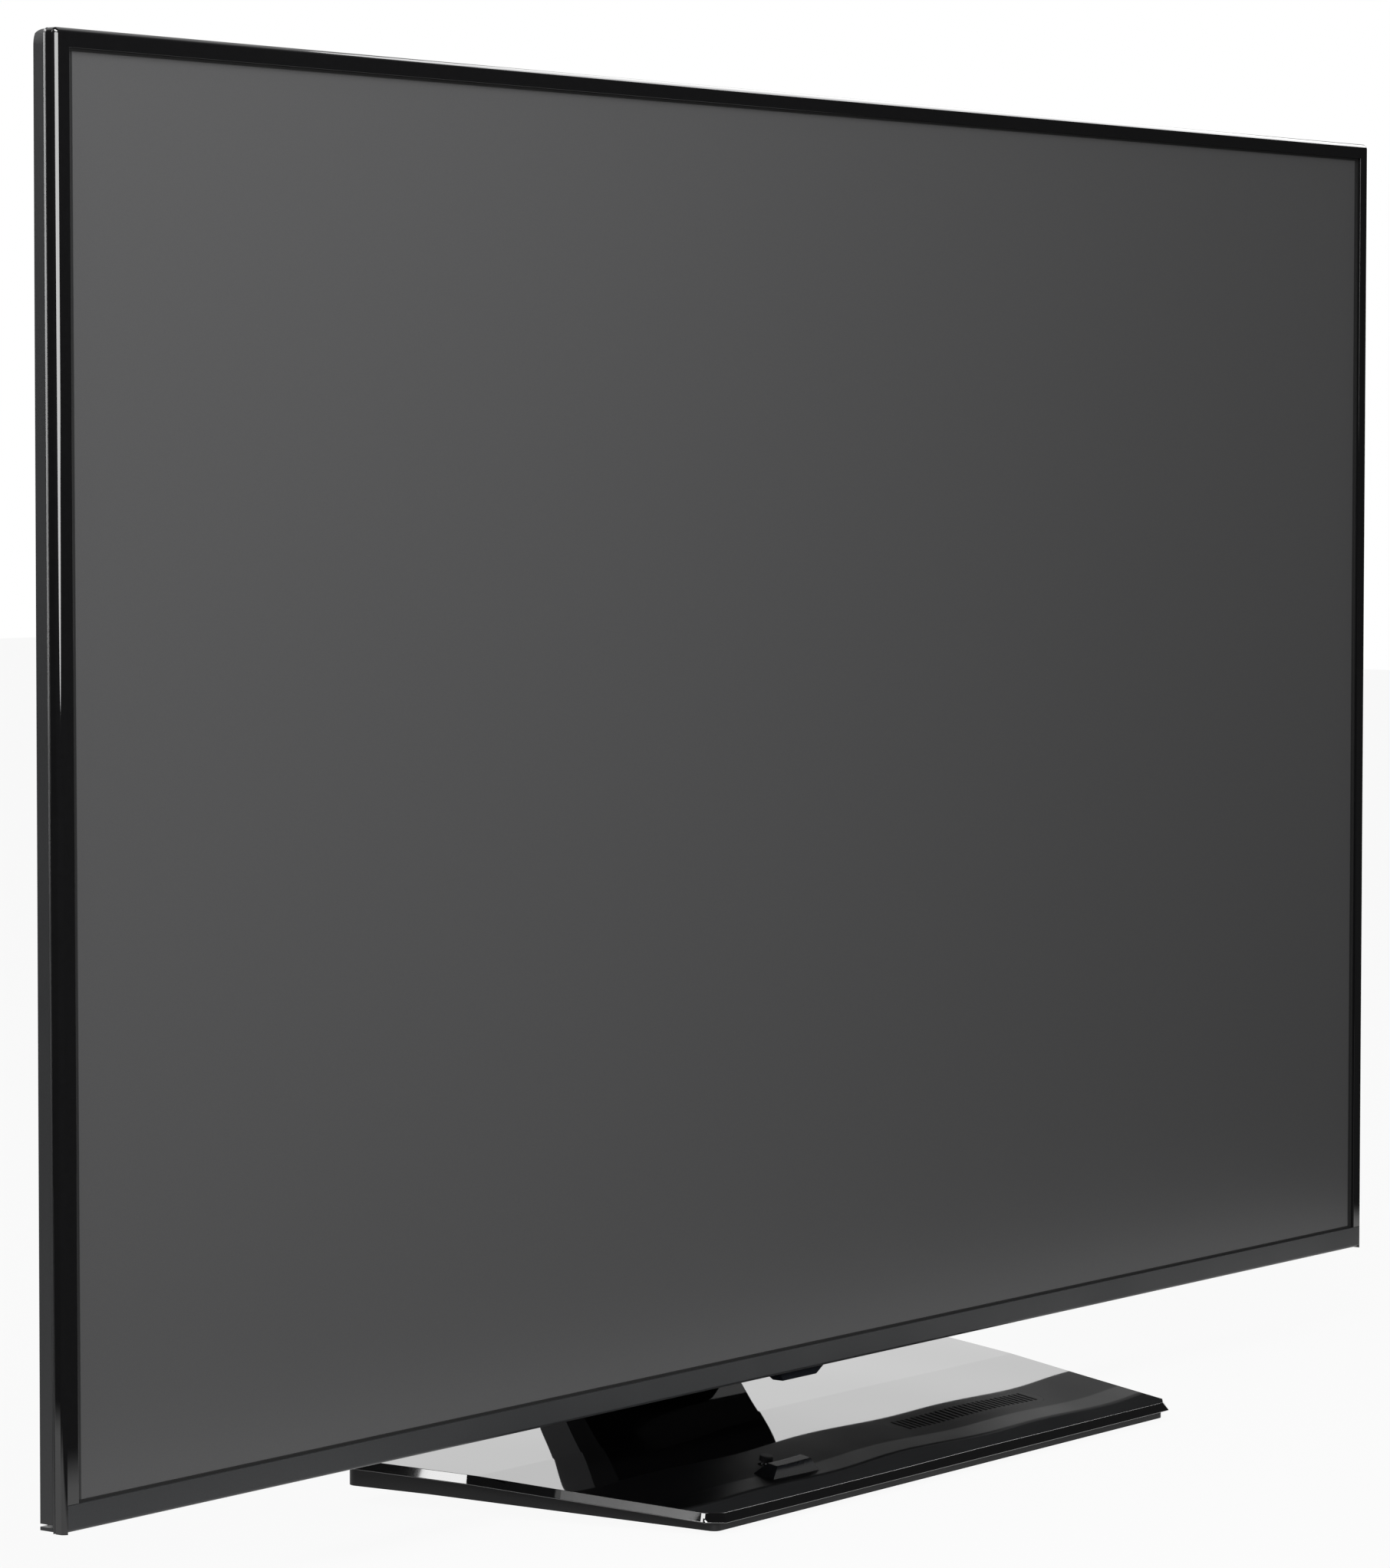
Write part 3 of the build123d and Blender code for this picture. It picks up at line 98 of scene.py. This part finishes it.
floor_size = 24.0
floor_drop = 0.0002        # the floor lies this far below the feet, so that no two faces coincide
floor_paint = 0.14         # share of the lamps' light that it gives back
floor_light = 1.14         # its own light
floor_glow = 0.82          # share of the floor's look that doesn't depend on the lamps
table_front = 0.31         # metres of white table seen in gloss, in front of the display,
table_side = 1.15          # to each side of its middle
table_back = 1.9           # and behind it
table_fade = 0.12          # width of the table's soft end
studio_light = 0.05        # the dark floor beyond the table, in gloss
floor_mesh = bpy.data.meshes.new("studio_floor")
half_floor = floor_size / 2
floor_mesh.from_pydata([(-half_floor, -half_floor, 0), (half_floor, -half_floor, 0),
                        (half_floor, half_floor, 0), (-half_floor, half_floor, 0)], [], [(0, 1, 2, 3)])
floor = bpy.data.objects.new("studio_floor", floor_mesh)
bpy.context.collection.objects.link(floor)
floor.location.z = -floor_drop
floor_look = bpy.data.materials.new("white_table")
floor_look.use_nodes = True
tree = floor_look.node_tree
tree.nodes.clear()
paint = tree.nodes.new("ShaderNodeBsdfDiffuse")
paint.inputs["Color"].default_value = (floor_paint, floor_paint, floor_paint, 1)
glow = tree.nodes.new("ShaderNodeEmission")
glow.inputs["Strength"].default_value = floor_light
far_room = tree.nodes.new("ShaderNodeEmission")
far_room.inputs["Strength"].default_value = studio_light
rays = tree.nodes.new("ShaderNodeLightPath")
spot = tree.nodes.new("ShaderNodeTexCoord")
spot_axes = tree.nodes.new("ShaderNodeSeparateXYZ")
link(tree, spot.outputs["Object"], spot_axes.inputs[0])
aside = math_node(tree, "ABSOLUTE", spot_axes.outputs["X"], 0.0)
past_side = math_node(tree, "SUBTRACT", aside, table_side)
past_back = math_node(tree, "SUBTRACT", spot_axes.outputs["Y"], table_back)
past_front = math_node(tree, "SUBTRACT", -table_front, spot_axes.outputs["Y"])
past_end = math_node(tree, "MAXIMUM", math_node(tree, "MAXIMUM", past_side, past_back), past_front)
beyond = ramp(tree, past_end, 0.0, table_fade, kind="SMOOTHSTEP")
seen = math_node(tree, "MAXIMUM", rays.outputs["Is Camera Ray"], rays.outputs["Is Transmission Ray"])
shown = math_node(tree, "MAXIMUM", seen, rays.outputs["Is Glossy Ray"])
lit = tree.nodes.new("ShaderNodeMixShader")
link(tree, math_node(tree, "MULTIPLY", shown, floor_glow), lit.inputs["Fac"])
link(tree, paint.outputs[0], lit.inputs[1])
link(tree, glow.outputs[0], lit.inputs[2])
ended = tree.nodes.new("ShaderNodeMixShader")
link(tree, math_node(tree, "MULTIPLY", rays.outputs["Is Glossy Ray"], beyond), ended.inputs["Fac"])
link(tree, lit.outputs[0], ended.inputs[1])
link(tree, far_room.outputs[0], ended.inputs[2])
surface = tree.nodes.new("ShaderNodeOutputMaterial")
link(tree, ended.outputs[0], surface.inputs["Surface"])
floor_mesh.materials.append(floor_look)

# The room: white to the camera, and to gloss a white backdrop behind on the right in a dark studio.
room_light = 0.2                     # what the room adds to the lamps
backdrop_way = (0.62, 0.78, 0.05)    # direction in which the backdrop stands
backdrop_rim = (0.25, 0.55)          # cosines to that direction, where it begins and where it is full
mirrored_light = (0.04, 1.0)         # the dark studio and the backdrop, as seen in gloss
world = bpy.data.worlds.new("studio")
bpy.context.scene.world = world
world.use_nodes = True
tree = world.node_tree
tree.nodes.clear()
rays = tree.nodes.new("ShaderNodeLightPath")
direction = tree.nodes.new("ShaderNodeTexCoord")
towards = tree.nodes.new("ShaderNodeVectorMath")
towards.operation = "DOT_PRODUCT"
towards.inputs[1].default_value = backdrop_way
link(tree, direction.outputs["Generated"], towards.inputs[0])
backdrop = ramp(tree, towards.outputs["Value"], *backdrop_rim, *mirrored_light, kind="SMOOTHSTEP")
seen = math_node(tree, "MAXIMUM", rays.outputs["Is Camera Ray"], rays.outputs["Is Transmission Ray"])
soft = tree.nodes.new("ShaderNodeBackground")
soft.inputs["Strength"].default_value = room_light
bright = tree.nodes.new("ShaderNodeBackground")
bright.inputs["Strength"].default_value = 1.0
mirrored_room = tree.nodes.new("ShaderNodeBackground")
for part in (soft, bright, mirrored_room):
    part.inputs["Color"].default_value = (1, 1, 1, 1)
link(tree, backdrop, mirrored_room.inputs["Strength"])
glossy_mix = tree.nodes.new("ShaderNodeMixShader")
link(tree, rays.outputs["Is Glossy Ray"], glossy_mix.inputs["Fac"])
link(tree, soft.outputs[0], glossy_mix.inputs[1])
link(tree, mirrored_room.outputs[0], glossy_mix.inputs[2])
camera_mix = tree.nodes.new("ShaderNodeMixShader")
link(tree, seen, camera_mix.inputs["Fac"])
link(tree, glossy_mix.outputs[0], camera_mix.inputs[1])
link(tree, bright.outputs[0], camera_mix.inputs[2])
sky = tree.nodes.new("ShaderNodeOutputWorld")
link(tree, camera_mix.outputs[0], sky.inputs["Surface"])


# Lamps
# A round soft box at the front left lights the screen and draws the bright line down the frame's nose.
# A second one stands high in front, one high on the right draws the line along the top edge, and one on
# the left is mirrored in the base's bevel, straight and by way of the screen.
def soft_box(name, place, aim, width, power):
    """Round area lamp at place that faces aim."""
    data = bpy.data.lights.new(name, "AREA")
    data.shape = "DISK"
    data.size = width
    data.energy = power
    lamp = bpy.data.objects.new(name, data)
    bpy.context.collection.objects.link(lamp)
    back = np.array(place) - np.array(aim)
    back = back / np.linalg.norm(back)
    side = np.cross((0, 0, 1), back)
    side = side / np.linalg.norm(side)
    turned = np.eye(4)
    turned[:3, :4] = np.column_stack((side, np.cross(back, side), back, place))
    lamp.matrix_world = Matrix(turned.tolist())


soft_box("front_soft_box", (-1.82, -2.28, 1.2), (-0.6, 0.0, 0.6), 1.5, 54.0)
soft_box("top_soft_box", (-0.9, -0.9, 2.0), (-0.3, 0.0, 0.8), 0.8, 26.0)
soft_box("right_soft_box", (2.95, -0.05, 2.85), (0.0, 0.0, 0.5), 1.8, 36.0)
soft_box("left_soft_box", (-2.12, 0.08, 2.1), (-0.3, 0.0, 0.1), 1.26, 34.0)


# Front frame
# A glossy black moulding round the left, top and right of the screen. Its outer nose is a curved
# facet that meets the flat lip at an edge, and its rear edge is rounded over the cover's rim.
def rounded(corners, radii, steps, guard=0.0003):
    """Closed outline with arcs at its corners.

    The arc at a corner touches both sides at radius / tan(half the corner's angle) from it. One more
    point on each side, up to guard further on, keeps the flats flat when they are shaded.
    """
    corners = np.asarray(corners, float)
    radii = np.asarray(radii, float)[:, None]
    back = np.roll(corners, 1, axis=0) - corners
    on = np.roll(corners, -1, axis=0) - corners
    back = back / np.linalg.norm(back, axis=1, keepdims=True)
    on = on / np.linalg.norm(on, axis=1, keepdims=True)
    half = np.arccos(np.clip((back * on).sum(1, keepdims=True), -1, 1)) / 2
    reach = radii / np.tan(half)
    middle = back + on
    centre = corners + middle / np.linalg.norm(middle, axis=1, keepdims=True) * radii / np.sin(half)
    start = corners + back * reach - centre
    end = corners + on * reach - centre
    swing = (np.pi - 2 * half)[:, :, None]
    part = np.linspace(0, 1, steps)[None, :, None]
    arc = (np.sin((1 - part) * swing) * start[:, None] + np.sin(part * swing) * end[:, None]) / np.sin(swing)
    extra = np.minimum(radii / 3, guard)
    points = np.concatenate(((corners + back * (reach + extra))[:, None], centre[:, None] + arc,
                             (corners + on * (reach + extra))[:, None]), axis=1)
    return points.reshape(-1, 2)


def skin(name, grid, closed=True, caps=True, crease=32.0):
    """Mesh over a grid of points, (along the section, along the path), with quads between neighbours.

    The section closes on itself when closed is set, and caps shuts both ends of the path.
    """
    count, run = grid.shape[:2]
    i = np.arange(count if closed else count - 1)[:, None]
    j = np.arange(run - 1)[None, :]
    after = (i + 1) % count
    quads = np.stack((i * run + j, i * run + j + 1, after * run + j + 1, after * run + j), axis=-1)
    faces = quads.reshape(-1, 4).tolist()
    if caps:
        ring = np.arange(count) * run
        faces += [ring.tolist(), (ring[::-1] + run - 1).tolist()]
    mesh = bpy.data.meshes.new(name)
    mesh.from_pydata(grid.reshape(-1, 3).tolist(), [], faces)
    mesh.update()
    mesh.shade_smooth()
    mesh.set_sharp_from_angle(angle=np.radians(crease))
    piece = bpy.data.objects.new(name, mesh)
    bpy.context.collection.objects.link(piece)
    return piece


def joined(name, pieces):
    """One object from several, its faces turned outwards."""
    bpy.ops.object.select_all(action="DESELECT")
    for piece in pieces:
        piece.select_set(True)
    bpy.context.view_layer.objects.active = pieces[0]
    if len(pieces) > 1:
        bpy.ops.object.join()
    bpy.ops.object.mode_set(mode="EDIT")
    bpy.ops.mesh.select_all(action="SELECT")
    bpy.ops.mesh.normals_make_consistent(inside=False)
    bpy.ops.object.mode_set(mode="OBJECT")
    pieces[0].name = name
    pieces[0].data.name = name
    return pieces[0]


def tinted(tree, factor, colour, spread):
    """The colour, made darker and lighter by the share spread as the noise in factor swings."""
    tone = tree.nodes.new("ShaderNodeValToRGB")
    for element, place, share in zip(tone.color_ramp.elements, (0.3, 0.7), (1 - spread, 1 + spread)):
        element.position = place
        element.color = tuple(min(1.0, c * share) for c in colour) + (1,)
    link(tree, factor, tone.inputs["Fac"])
    return tone.outputs["Color"]


def plastic(name, colour, roughness, grain, depth, spread=0.15, gloss=0.5, ior=1.5, rough_spread=0.06):
    """Moulded plastic: a fine noise is its grain and varies the colour, a broad one varies the roughness."""
    look = bpy.data.materials.new(name)
    look.use_nodes = True
    tree = look.node_tree
    shader = tree.nodes["Principled BSDF"]
    shader.inputs["Specular IOR Level"].default_value = gloss
    shader.inputs["IOR"].default_value = ior
    place = tree.nodes.new("ShaderNodeTexCoord")
    fine = tree.nodes.new("ShaderNodeTexNoise")
    fine.inputs["Scale"].default_value = grain
    fine.inputs["Detail"].default_value = 3.0
    broad = tree.nodes.new("ShaderNodeTexNoise")
    broad.inputs["Scale"].default_value = 9.0
    broad.inputs["Detail"].default_value = 2.0
    for noise in (fine, broad):
        link(tree, place.outputs["Object"], noise.inputs["Vector"])
    link(tree, tinted(tree, fine.outputs["Fac"], colour, spread), shader.inputs["Base Color"])
    smoothest = max(0.0, roughness - rough_spread)
    wear = ramp(tree, broad.outputs["Fac"], 0.3, 0.7, smoothest, roughness + rough_spread)
    link(tree, wear, shader.inputs["Roughness"])
    bump = tree.nodes.new("ShaderNodeBump")
    bump.inputs["Distance"].default_value = depth
    bump.inputs["Strength"].default_value = 1.0
    link(tree, fine.outputs["Fac"], bump.inputs["Height"])
    link(tree, bump.outputs["Normal"], shader.inputs["Normal"])
    return look


def dress(name, look):
    """Gives a CAD node its finished material in every slot."""
    for slot in nodes[name].material_slots:
        slot.material = look


def arch_grid(inset, inset_top, behind, low):
    """Points of a section that runs up the left side, along the top and down the right side.

    inset and inset_top are its distances inwards from the outline, at the sides and at the top, behind is
    its depth from the display's front, and both ends stop at the height low. It turns each corner about
    corner_radius, less the inset.
    """
    angle = np.linspace(np.pi, np.pi / 2, 9)[None, :]
    bend = np.maximum(corner_radius - inset, tightest_bend)[:, None]
    left_x = -half_width + inset[:, None] + bend * (1 + np.cos(angle))
    left_z = top - inset_top[:, None] - bend * (1 - np.sin(angle))
    side_x = half_width - inset[:, None]
    end_z = np.full((len(inset), 1), low)
    across = np.concatenate((-side_x, left_x, -left_x[:, ::-1], side_x), axis=1)
    height = np.concatenate((end_z, left_z, left_z[:, ::-1], end_z), axis=1)
    deep = np.broadcast_to((front + behind)[:, None], across.shape)
    return np.stack((across, deep, height), axis=-1)


box_low, box_high = (np.array(corner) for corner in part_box("front_frame"))
half_width = box_high[0]
top = box_high[2]
front = box_low[1]
foot = box_low[2]
lip_side, lip_top = 0.0115, 0.0106       # the lip's width at the sides and at the top
lip_thickness, wall = 0.002, 0.0022
depth = 0.0071                           # from the lip's face to the rear edge
lip_start = 0.005                        # inset past which a point belongs to the lip's inner edge
lip_gap = 0.0003                         # between the lip's ends and the bottom strip
corner_radius, tightest_bend = 0.0035, 0.00005
nose = [(0, 0.00225), (0.00123, 0.00073), (0.0025, 0)]
nose_radii = [0.0008, 0.006, 0.00008]
strip_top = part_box("bottom_bezel_strip")[1][2]
lip_end = strip_top + lip_gap
profile = rounded([(0, depth)] + nose + [(lip_side, 0), (lip_side, lip_thickness),
                                         (wall, lip_thickness), (wall, depth)],
                  [0.0005] + nose_radii + [0.0004, 0.0002, 0.0002, 0.0003], steps=8)
inset = profile[:, 0]
inset_top = np.where(inset > lip_start, inset - (lip_side - lip_top), inset)
arch = skin("frame_arch", arch_grid(inset, inset_top, profile[:, 1], lip_end))
leg_face = 0.0002                        # flat beside the nose, on the legs below the lip's ends
nose_end = nose[-1][0] + leg_face
leg_profile = rounded([(0, depth)] + nose + [(nose_end, 0), (nose_end, depth)],
                      [0.0005] + nose_radii + [0.00005, 0.0003], steps=8)
legs = []
for side in (-1, 1):
    x = side * (half_width - leg_profile[:, 0])[:, None]
    y = (front + leg_profile[:, 1])[:, None]
    z = np.array((foot, lip_end))[None, :]
    legs.append(skin("frame_leg", np.stack(np.broadcast_arrays(x, y, z), axis=-1)))
front_bezel = joined("front_bezel", [arch] + legs)
gloss_black = plastic("piano_black", (0.004, 0.004, 0.0043), 0.03, 260.0, 0.0000008, spread=0.1, ior=1.6,
                      rough_spread=0.01)
front_bezel.data.materials.append(gloss_black)
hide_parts("front_frame")
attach(front_bezel, "display")

# Rim ring
# A narrow satin slope between the frame's rear edge and the cover's rim, left, top and right. It is part
# of the cover's moulding and faces the front left, so that it catches the light as a fine line.
ring_width, ring_back, ring_gap = 0.0015, 0.0085, 0.0001
ring_in = np.array((ring_width, 0.0, ring_width))
ring_behind = np.array((depth + ring_gap, ring_back, ring_back))
rim_ring = joined("rim_ring", [skin("ring_arch", arch_grid(ring_in, ring_in, ring_behind, foot))])
satin_black = plastic("satin_black", (0.03, 0.03, 0.031), 0.22, 1800.0, 0.000004)
rim_ring.data.materials.append(satin_black)
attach(rim_ring, "display")

# Bottom strip
# Satin dark-grey strip below the screen, moulded with a fine sparkle and a rounded lower nose.
satin_grey = plastic("satin_grey", (0.022, 0.023, 0.0245), 0.34, 2200.0, 0.00003, spread=0.22, gloss=0.35)
dress("bottom_bezel_strip", satin_grey)

# Screen
# The cell's front polariser has a fine matte coat. A band at each side, beside the lip, is painted darker as
# the lip's shade on the screen (painted shade); a black foam gasket shows as a line round it.
screen_matte = plastic("matte_polariser", (0.076, 0.076, 0.077), 0.24, 3200.0, 0.00001, spread=0.1,
                       gloss=0.2, rough_spread=0.008)
# Painted shade: in a band beside the lip at each side, the screen's colour is scaled down to 0.3 of its own,
# standing in for the lip's shadow.
lip_shade_width, lip_shade_blur = 0.0045, 0.0003
lip_shade_tone = 0.3                        # painted shade: share of the unshaded screen's own colour
unshaded_half_width = half_width - lip_side - lip_shade_width
tree = screen_matte.node_tree
spot = tree.nodes.new("ShaderNodeTexCoord")
spot_axes = tree.nodes.new("ShaderNodeSeparateXYZ")
link(tree, spot.outputs["Object"], spot_axes.inputs[0])
lip_shade_factor = ramp(tree, math_node(tree, "ABSOLUTE", spot_axes.outputs["X"], 0.0),
              unshaded_half_width, unshaded_half_width + lip_shade_blur, 1.0, lip_shade_tone)
painted_shade = tree.nodes.new("ShaderNodeVectorMath")
painted_shade.operation = "SCALE"
link(tree, tree.nodes["Color Ramp"].outputs["Color"], painted_shade.inputs[0])
link(tree, lip_shade_factor, painted_shade.inputs["Scale"])
link(tree, painted_shade.outputs["Vector"], tree.nodes["Principled BSDF"].inputs["Base Color"])
dress("lcd_cell", screen_matte)
foam_black = plastic("gasket_foam", (0.012, 0.012, 0.012), 0.8, 1500.0, 0.00005, gloss=0.3)
dress("screen_gasket", foam_black)

# Rear cover
# One large moulding in matte dark grey with a spark-eroded grain, screwed on from behind.
rear_grain = plastic("rear_cover_grain", (0.019, 0.0195, 0.0205), 0.52, 1300.0, 0.00006, spread=0.16)
dress("rear_cover", rear_grain)
black_plastic = plastic("black_moulding", (0.03, 0.03, 0.032), 0.45, 1500.0, 0.00003)
dress("terminal_panel", black_plastic)


# Base cover
# Piano-black moulding on the base: a trapezoid that widens to the back, with narrow flat bevels, a
# flat across each front corner and one gentle fold. The moulded top isn't quite flat.
base_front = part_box("base_cover")[0][1]
base_depth, base_width = 0.248, 0.510
base_back = base_front + base_depth
lean, slope, rear_slope = np.radians((14.0, 4.5, 3.0))
fold_run = 0.156                         # from the front edge to the fold
fold = base_front + fold_run
fold_lead = 0.0049                       # share of the depth by which the bevel brings the fold forward
rear_bevel = 0.025                       # length over which the rise shrinks to nothing at the back
bevel_inset, bevel_height, cover_lip = 0.0034, 0.0052, 0.0071
base_chamfer = 0.0084                    # cut off each front corner
chamfer_share = 0.55                     # of an inset, by which the cut gets shorter
flat = (base_width / 2 - base_chamfer) / (base_width / 2)


def half_base(y, inset):
    """Half of the base's width at y: half the front's plus the lean's share, less the inset on the slant."""
    return base_width / 2 + (y - base_front) * np.tan(lean) - inset / np.cos(lean)


def cover_height(y):
    """Lower edge of the cover at y: a slope of 4.5 degrees up to the fold and 3.0 degrees behind it."""
    return cover_lip + (np.minimum(y, fold) - base_front) * np.tan(slope) \
        + np.maximum(0, y - fold) * np.tan(rear_slope)


def waves(x, y):
    """Moulding waves of the top: two slow sines across and one along, a fifth of a millimetre high."""
    return 0.00016 * np.sin(x * 19 + 0.6) + 0.00007 * np.sin(x * 41 + y * 9 + 1.9) + 0.00008 * np.sin(y * 30)


def cover_point(f, v, inset, rise):
    """Point of the cover: f runs across from -1 to 1, v from front to back, on the outline moved inwards by
    inset and up by rise. Both shrink to nothing over the rear slope, and the front corners are cut off."""
    short = base_chamfer - inset * chamfer_share
    cut = short * np.clip((np.abs(f) - flat) / (1 - flat), 0, 1)
    y_front = base_front + inset + cut
    y = y_front + v * (base_back - y_front)
    share = np.clip((base_back - y) / rear_bevel, 0.01, 1)
    x = f * half_base(y, inset * share)
    z = cover_height(y) + rise * share + waves(x, y) * np.clip(rise / bevel_height, 0, 1) * share
    return np.stack(np.broadcast_arrays(x, y, z), axis=-1)


across = np.sort(np.concatenate((np.linspace(-1, 1, 181), (-flat, flat))))
fold_rows = (fold_run / base_depth - fold_lead, 1 - rear_bevel / base_depth)
along = np.sort(np.concatenate((np.linspace(0, 1, 97), fold_rows)))
arc_steps, inner = 7, 0.02
outline = rounded([(inner, bevel_height), (bevel_inset, bevel_height), (0, 0), (inner, 0)],
                  [0.001, 0.0003, 0.0003, 0.001], steps=arc_steps)
section = outline[arc_steps + 2:3 * (arc_steps + 2)]      # the two outer corners, each with its two guards
top_inset, top_rise = section[0]
grid_f, grid_v = np.meshgrid(across, along, indexing="ij")
top_grid = cover_point(grid_f, grid_v, top_inset, top_rise)
low_grid = cover_point(grid_f, grid_v, section[-1][0], section[-1][1])
front_edge = np.stack((across, 0 * across), axis=1)
right_edge = np.stack((1 + 0 * along[1:], along[1:]), axis=1)
back_edge = np.stack((across[-2::-1], 1 + 0 * across[-2::-1]), axis=1)
left_edge = np.stack((-1 + 0 * along[-2:0:-1], along[-2:0:-1]), axis=1)
edge = np.concatenate((front_edge, right_edge, back_edge, left_edge))
bands = np.stack([cover_point(edge[:, 0], edge[:, 1], inset, rise) for inset, rise in section], axis=1)
gloss_cover = joined("gloss_cover", [skin("cover_top", top_grid, closed=False, caps=False),
                                     skin("cover_low", low_grid[:, ::-1], closed=False, caps=False),
                                     skin("cover_bevels", bands, caps=False)])
weld = gloss_cover.modifiers.new("weld", "WELD")
weld.merge_threshold = 0.00001
base_lacquer = plastic("base_lacquer", (0.002, 0.002, 0.0022), 0.03, 260.0, 0.0000008, spread=0.1,
                       rough_spread=0.01)
lacquer = base_lacquer.node_tree.nodes["Principled BSDF"]
lacquer.inputs["Coat Weight"].default_value = 1.0
lacquer.inputs["Coat Roughness"].default_value = 0.02
lacquer.inputs["Coat IOR"].default_value = 1.6
gloss_cover.data.materials.append(base_lacquer)
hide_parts("base_cover")
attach(gloss_cover, "display")

# Tray and feet
# The matte tray closes the base from below and stands on four rubber feet, with two more at the heel.
tray_grey = plastic("tray_grey", (0.012, 0.012, 0.0125), 0.55, 1200.0, 0.00005, gloss=0.3)
dress("base_tray", tray_grey)
foot_rubber = plastic("foot_rubber", (0.045, 0.045, 0.045), 0.75, 1600.0, 0.00004, gloss=0.3)
dress("rubber_feet", foot_rubber)

# Neck
# Two plastic covers round a bent steel plate: a glossy one in front, a fine matte one behind.
dress("neck_front_cover", gloss_black)
neck_grain = plastic("neck_grain", (0.035, 0.035, 0.037), 0.45, 1500.0, 0.00004)
dress("neck_rear_cover", neck_grain)

# Control window
# Dark translucent acrylic, polished, below the middle of the lower edge.
smoked_acrylic = plastic("smoked_acrylic", (0.02, 0.022, 0.028), 0.06, 300.0, 0.000002, ior=1.49)
dress("control_lens", smoked_acrylic)


# Steel, zinc and aluminium parts
# Bent and turned metal inside the housing and in the stand; brushed or spangled by a stretched noise.
def metal(name, colour, roughness, stretch, spread=0.1, rough_spread=0.1):
    """Bare or plated metal: a noise stretched along one axis varies the colour and the roughness."""
    look = bpy.data.materials.new(name)
    look.use_nodes = True
    tree = look.node_tree
    shader = tree.nodes["Principled BSDF"]
    shader.inputs["Metallic"].default_value = 1.0
    place = tree.nodes.new("ShaderNodeTexCoord")
    mapping = tree.nodes.new("ShaderNodeMapping")
    mapping.inputs["Scale"].default_value = stretch
    link(tree, place.outputs["Object"], mapping.inputs["Vector"])
    noise = tree.nodes.new("ShaderNodeTexNoise")
    noise.inputs["Scale"].default_value = 1.0
    noise.inputs["Detail"].default_value = 4.0
    link(tree, mapping.outputs["Vector"], noise.inputs["Vector"])
    link(tree, tinted(tree, noise.outputs["Fac"], colour, spread), shader.inputs["Base Color"])
    wear = ramp(tree, noise.outputs["Fac"], 0.0, 1.0, roughness - rough_spread, roughness + rough_spread)
    link(tree, wear, shader.inputs["Roughness"])
    return look


zinc = metal("zinc_sheet", (0.62, 0.63, 0.64), 0.35, (180.0, 180.0, 260.0), spread=0.18)
black_zinc = metal("black_zinc", (0.08, 0.08, 0.082), 0.4, (900.0, 900.0, 900.0))
bare_aluminium = metal("extruded_aluminium", (0.75, 0.76, 0.77), 0.32, (60.0, 60.0, 1500.0))
tinned = metal("tinned_steel", (0.7, 0.69, 0.66), 0.3, (300.0, 1200.0, 300.0))
spring_wire = metal("spring_wire", (0.6, 0.6, 0.62), 0.25, (700.0, 700.0, 700.0))
for name in ("back_chassis", "stand_bracket", "board_standoffs", "steel_plate", "neck_core", "timing_shield",
             "wall_mount_inserts", "board_screws"):
    dress(name, zinc)
for name in ("rear_cover_screws", "neck_bolts", "base_screws"):
    dress(name, black_zinc)
dress("heat_sinks", bare_aluminium)
for name in ("video_sockets", "usb_sockets", "network_socket", "antenna_socket", "wifi_module"):
    dress(name, tinned)
dress("stick_spring", spring_wire)

# Light sheets, backlight and boards
# White films and sheets behind the cell, clear lenses over the diodes, and green circuit boards.
white_film = plastic("white_film", (0.85, 0.85, 0.84), 0.5, 400.0, 0.00001, spread=0.02)
for name in ("prism_sheet", "diffuser_plate", "reflector_sheet", "diffuser_posts"):
    dress(name, white_film)
white_board = plastic("white_solder_mask", (0.8, 0.8, 0.78), 0.35, 600.0, 0.00001, spread=0.03)
dress("led_strips", white_board)
clear_lens = plastic("clear_acrylic", (0.85, 0.87, 0.88), 0.08, 300.0, 0.000002, spread=0.02)
dress("led_lenses", clear_lens)
green_board = plastic("green_solder_mask", (0.05, 0.16, 0.08), 0.35, 420.0, 0.00002, spread=0.2)
for name in ("power_board", "main_board", "timing_board", "source_boards", "control_board",
             "infrared_receiver"):
    dress(name, green_board)
ferrite = plastic("ferrite_and_tape", (0.07, 0.07, 0.08), 0.6, 900.0, 0.00005)
dress("power_transformers", ferrite)
sleeve = plastic("capacitor_sleeve", (0.04, 0.05, 0.1), 0.25, 500.0, 0.00001)
dress("power_capacitors", sleeve)
cable_film = plastic("cable_film", (0.78, 0.78, 0.74), 0.4, 700.0, 0.00001, spread=0.04)
for name in ("panel_flat_cables", "main_flat_cable"):
    dress(name, cable_film)
wire_black = plastic("wire_sleeve", (0.02, 0.02, 0.02), 0.5, 1400.0, 0.00004)
dress("power_harness", wire_black)

# Speakers, mains inlet and control stick
# Black mouldings, paper cones and foam seals.
for name in ("middle_frame", "ac_inlet", "optical_socket", "left_speaker_box", "right_speaker_box",
             "speaker_drivers", "stick_housing", "stick_ring", "stick_hub", "stick_knob"):
    dress(name, black_plastic)
grille_black = plastic("grille_black", (0.009, 0.009, 0.0095), 0.5, 1500.0, 0.00003)
dress("speaker_grilles", grille_black)
cone_paper = plastic("cone_paper", (0.04, 0.04, 0.04), 0.85, 1100.0, 0.00008, gloss=0.2)
dress("speaker_cones", cone_paper)
dress("speaker_gaskets", foam_black)
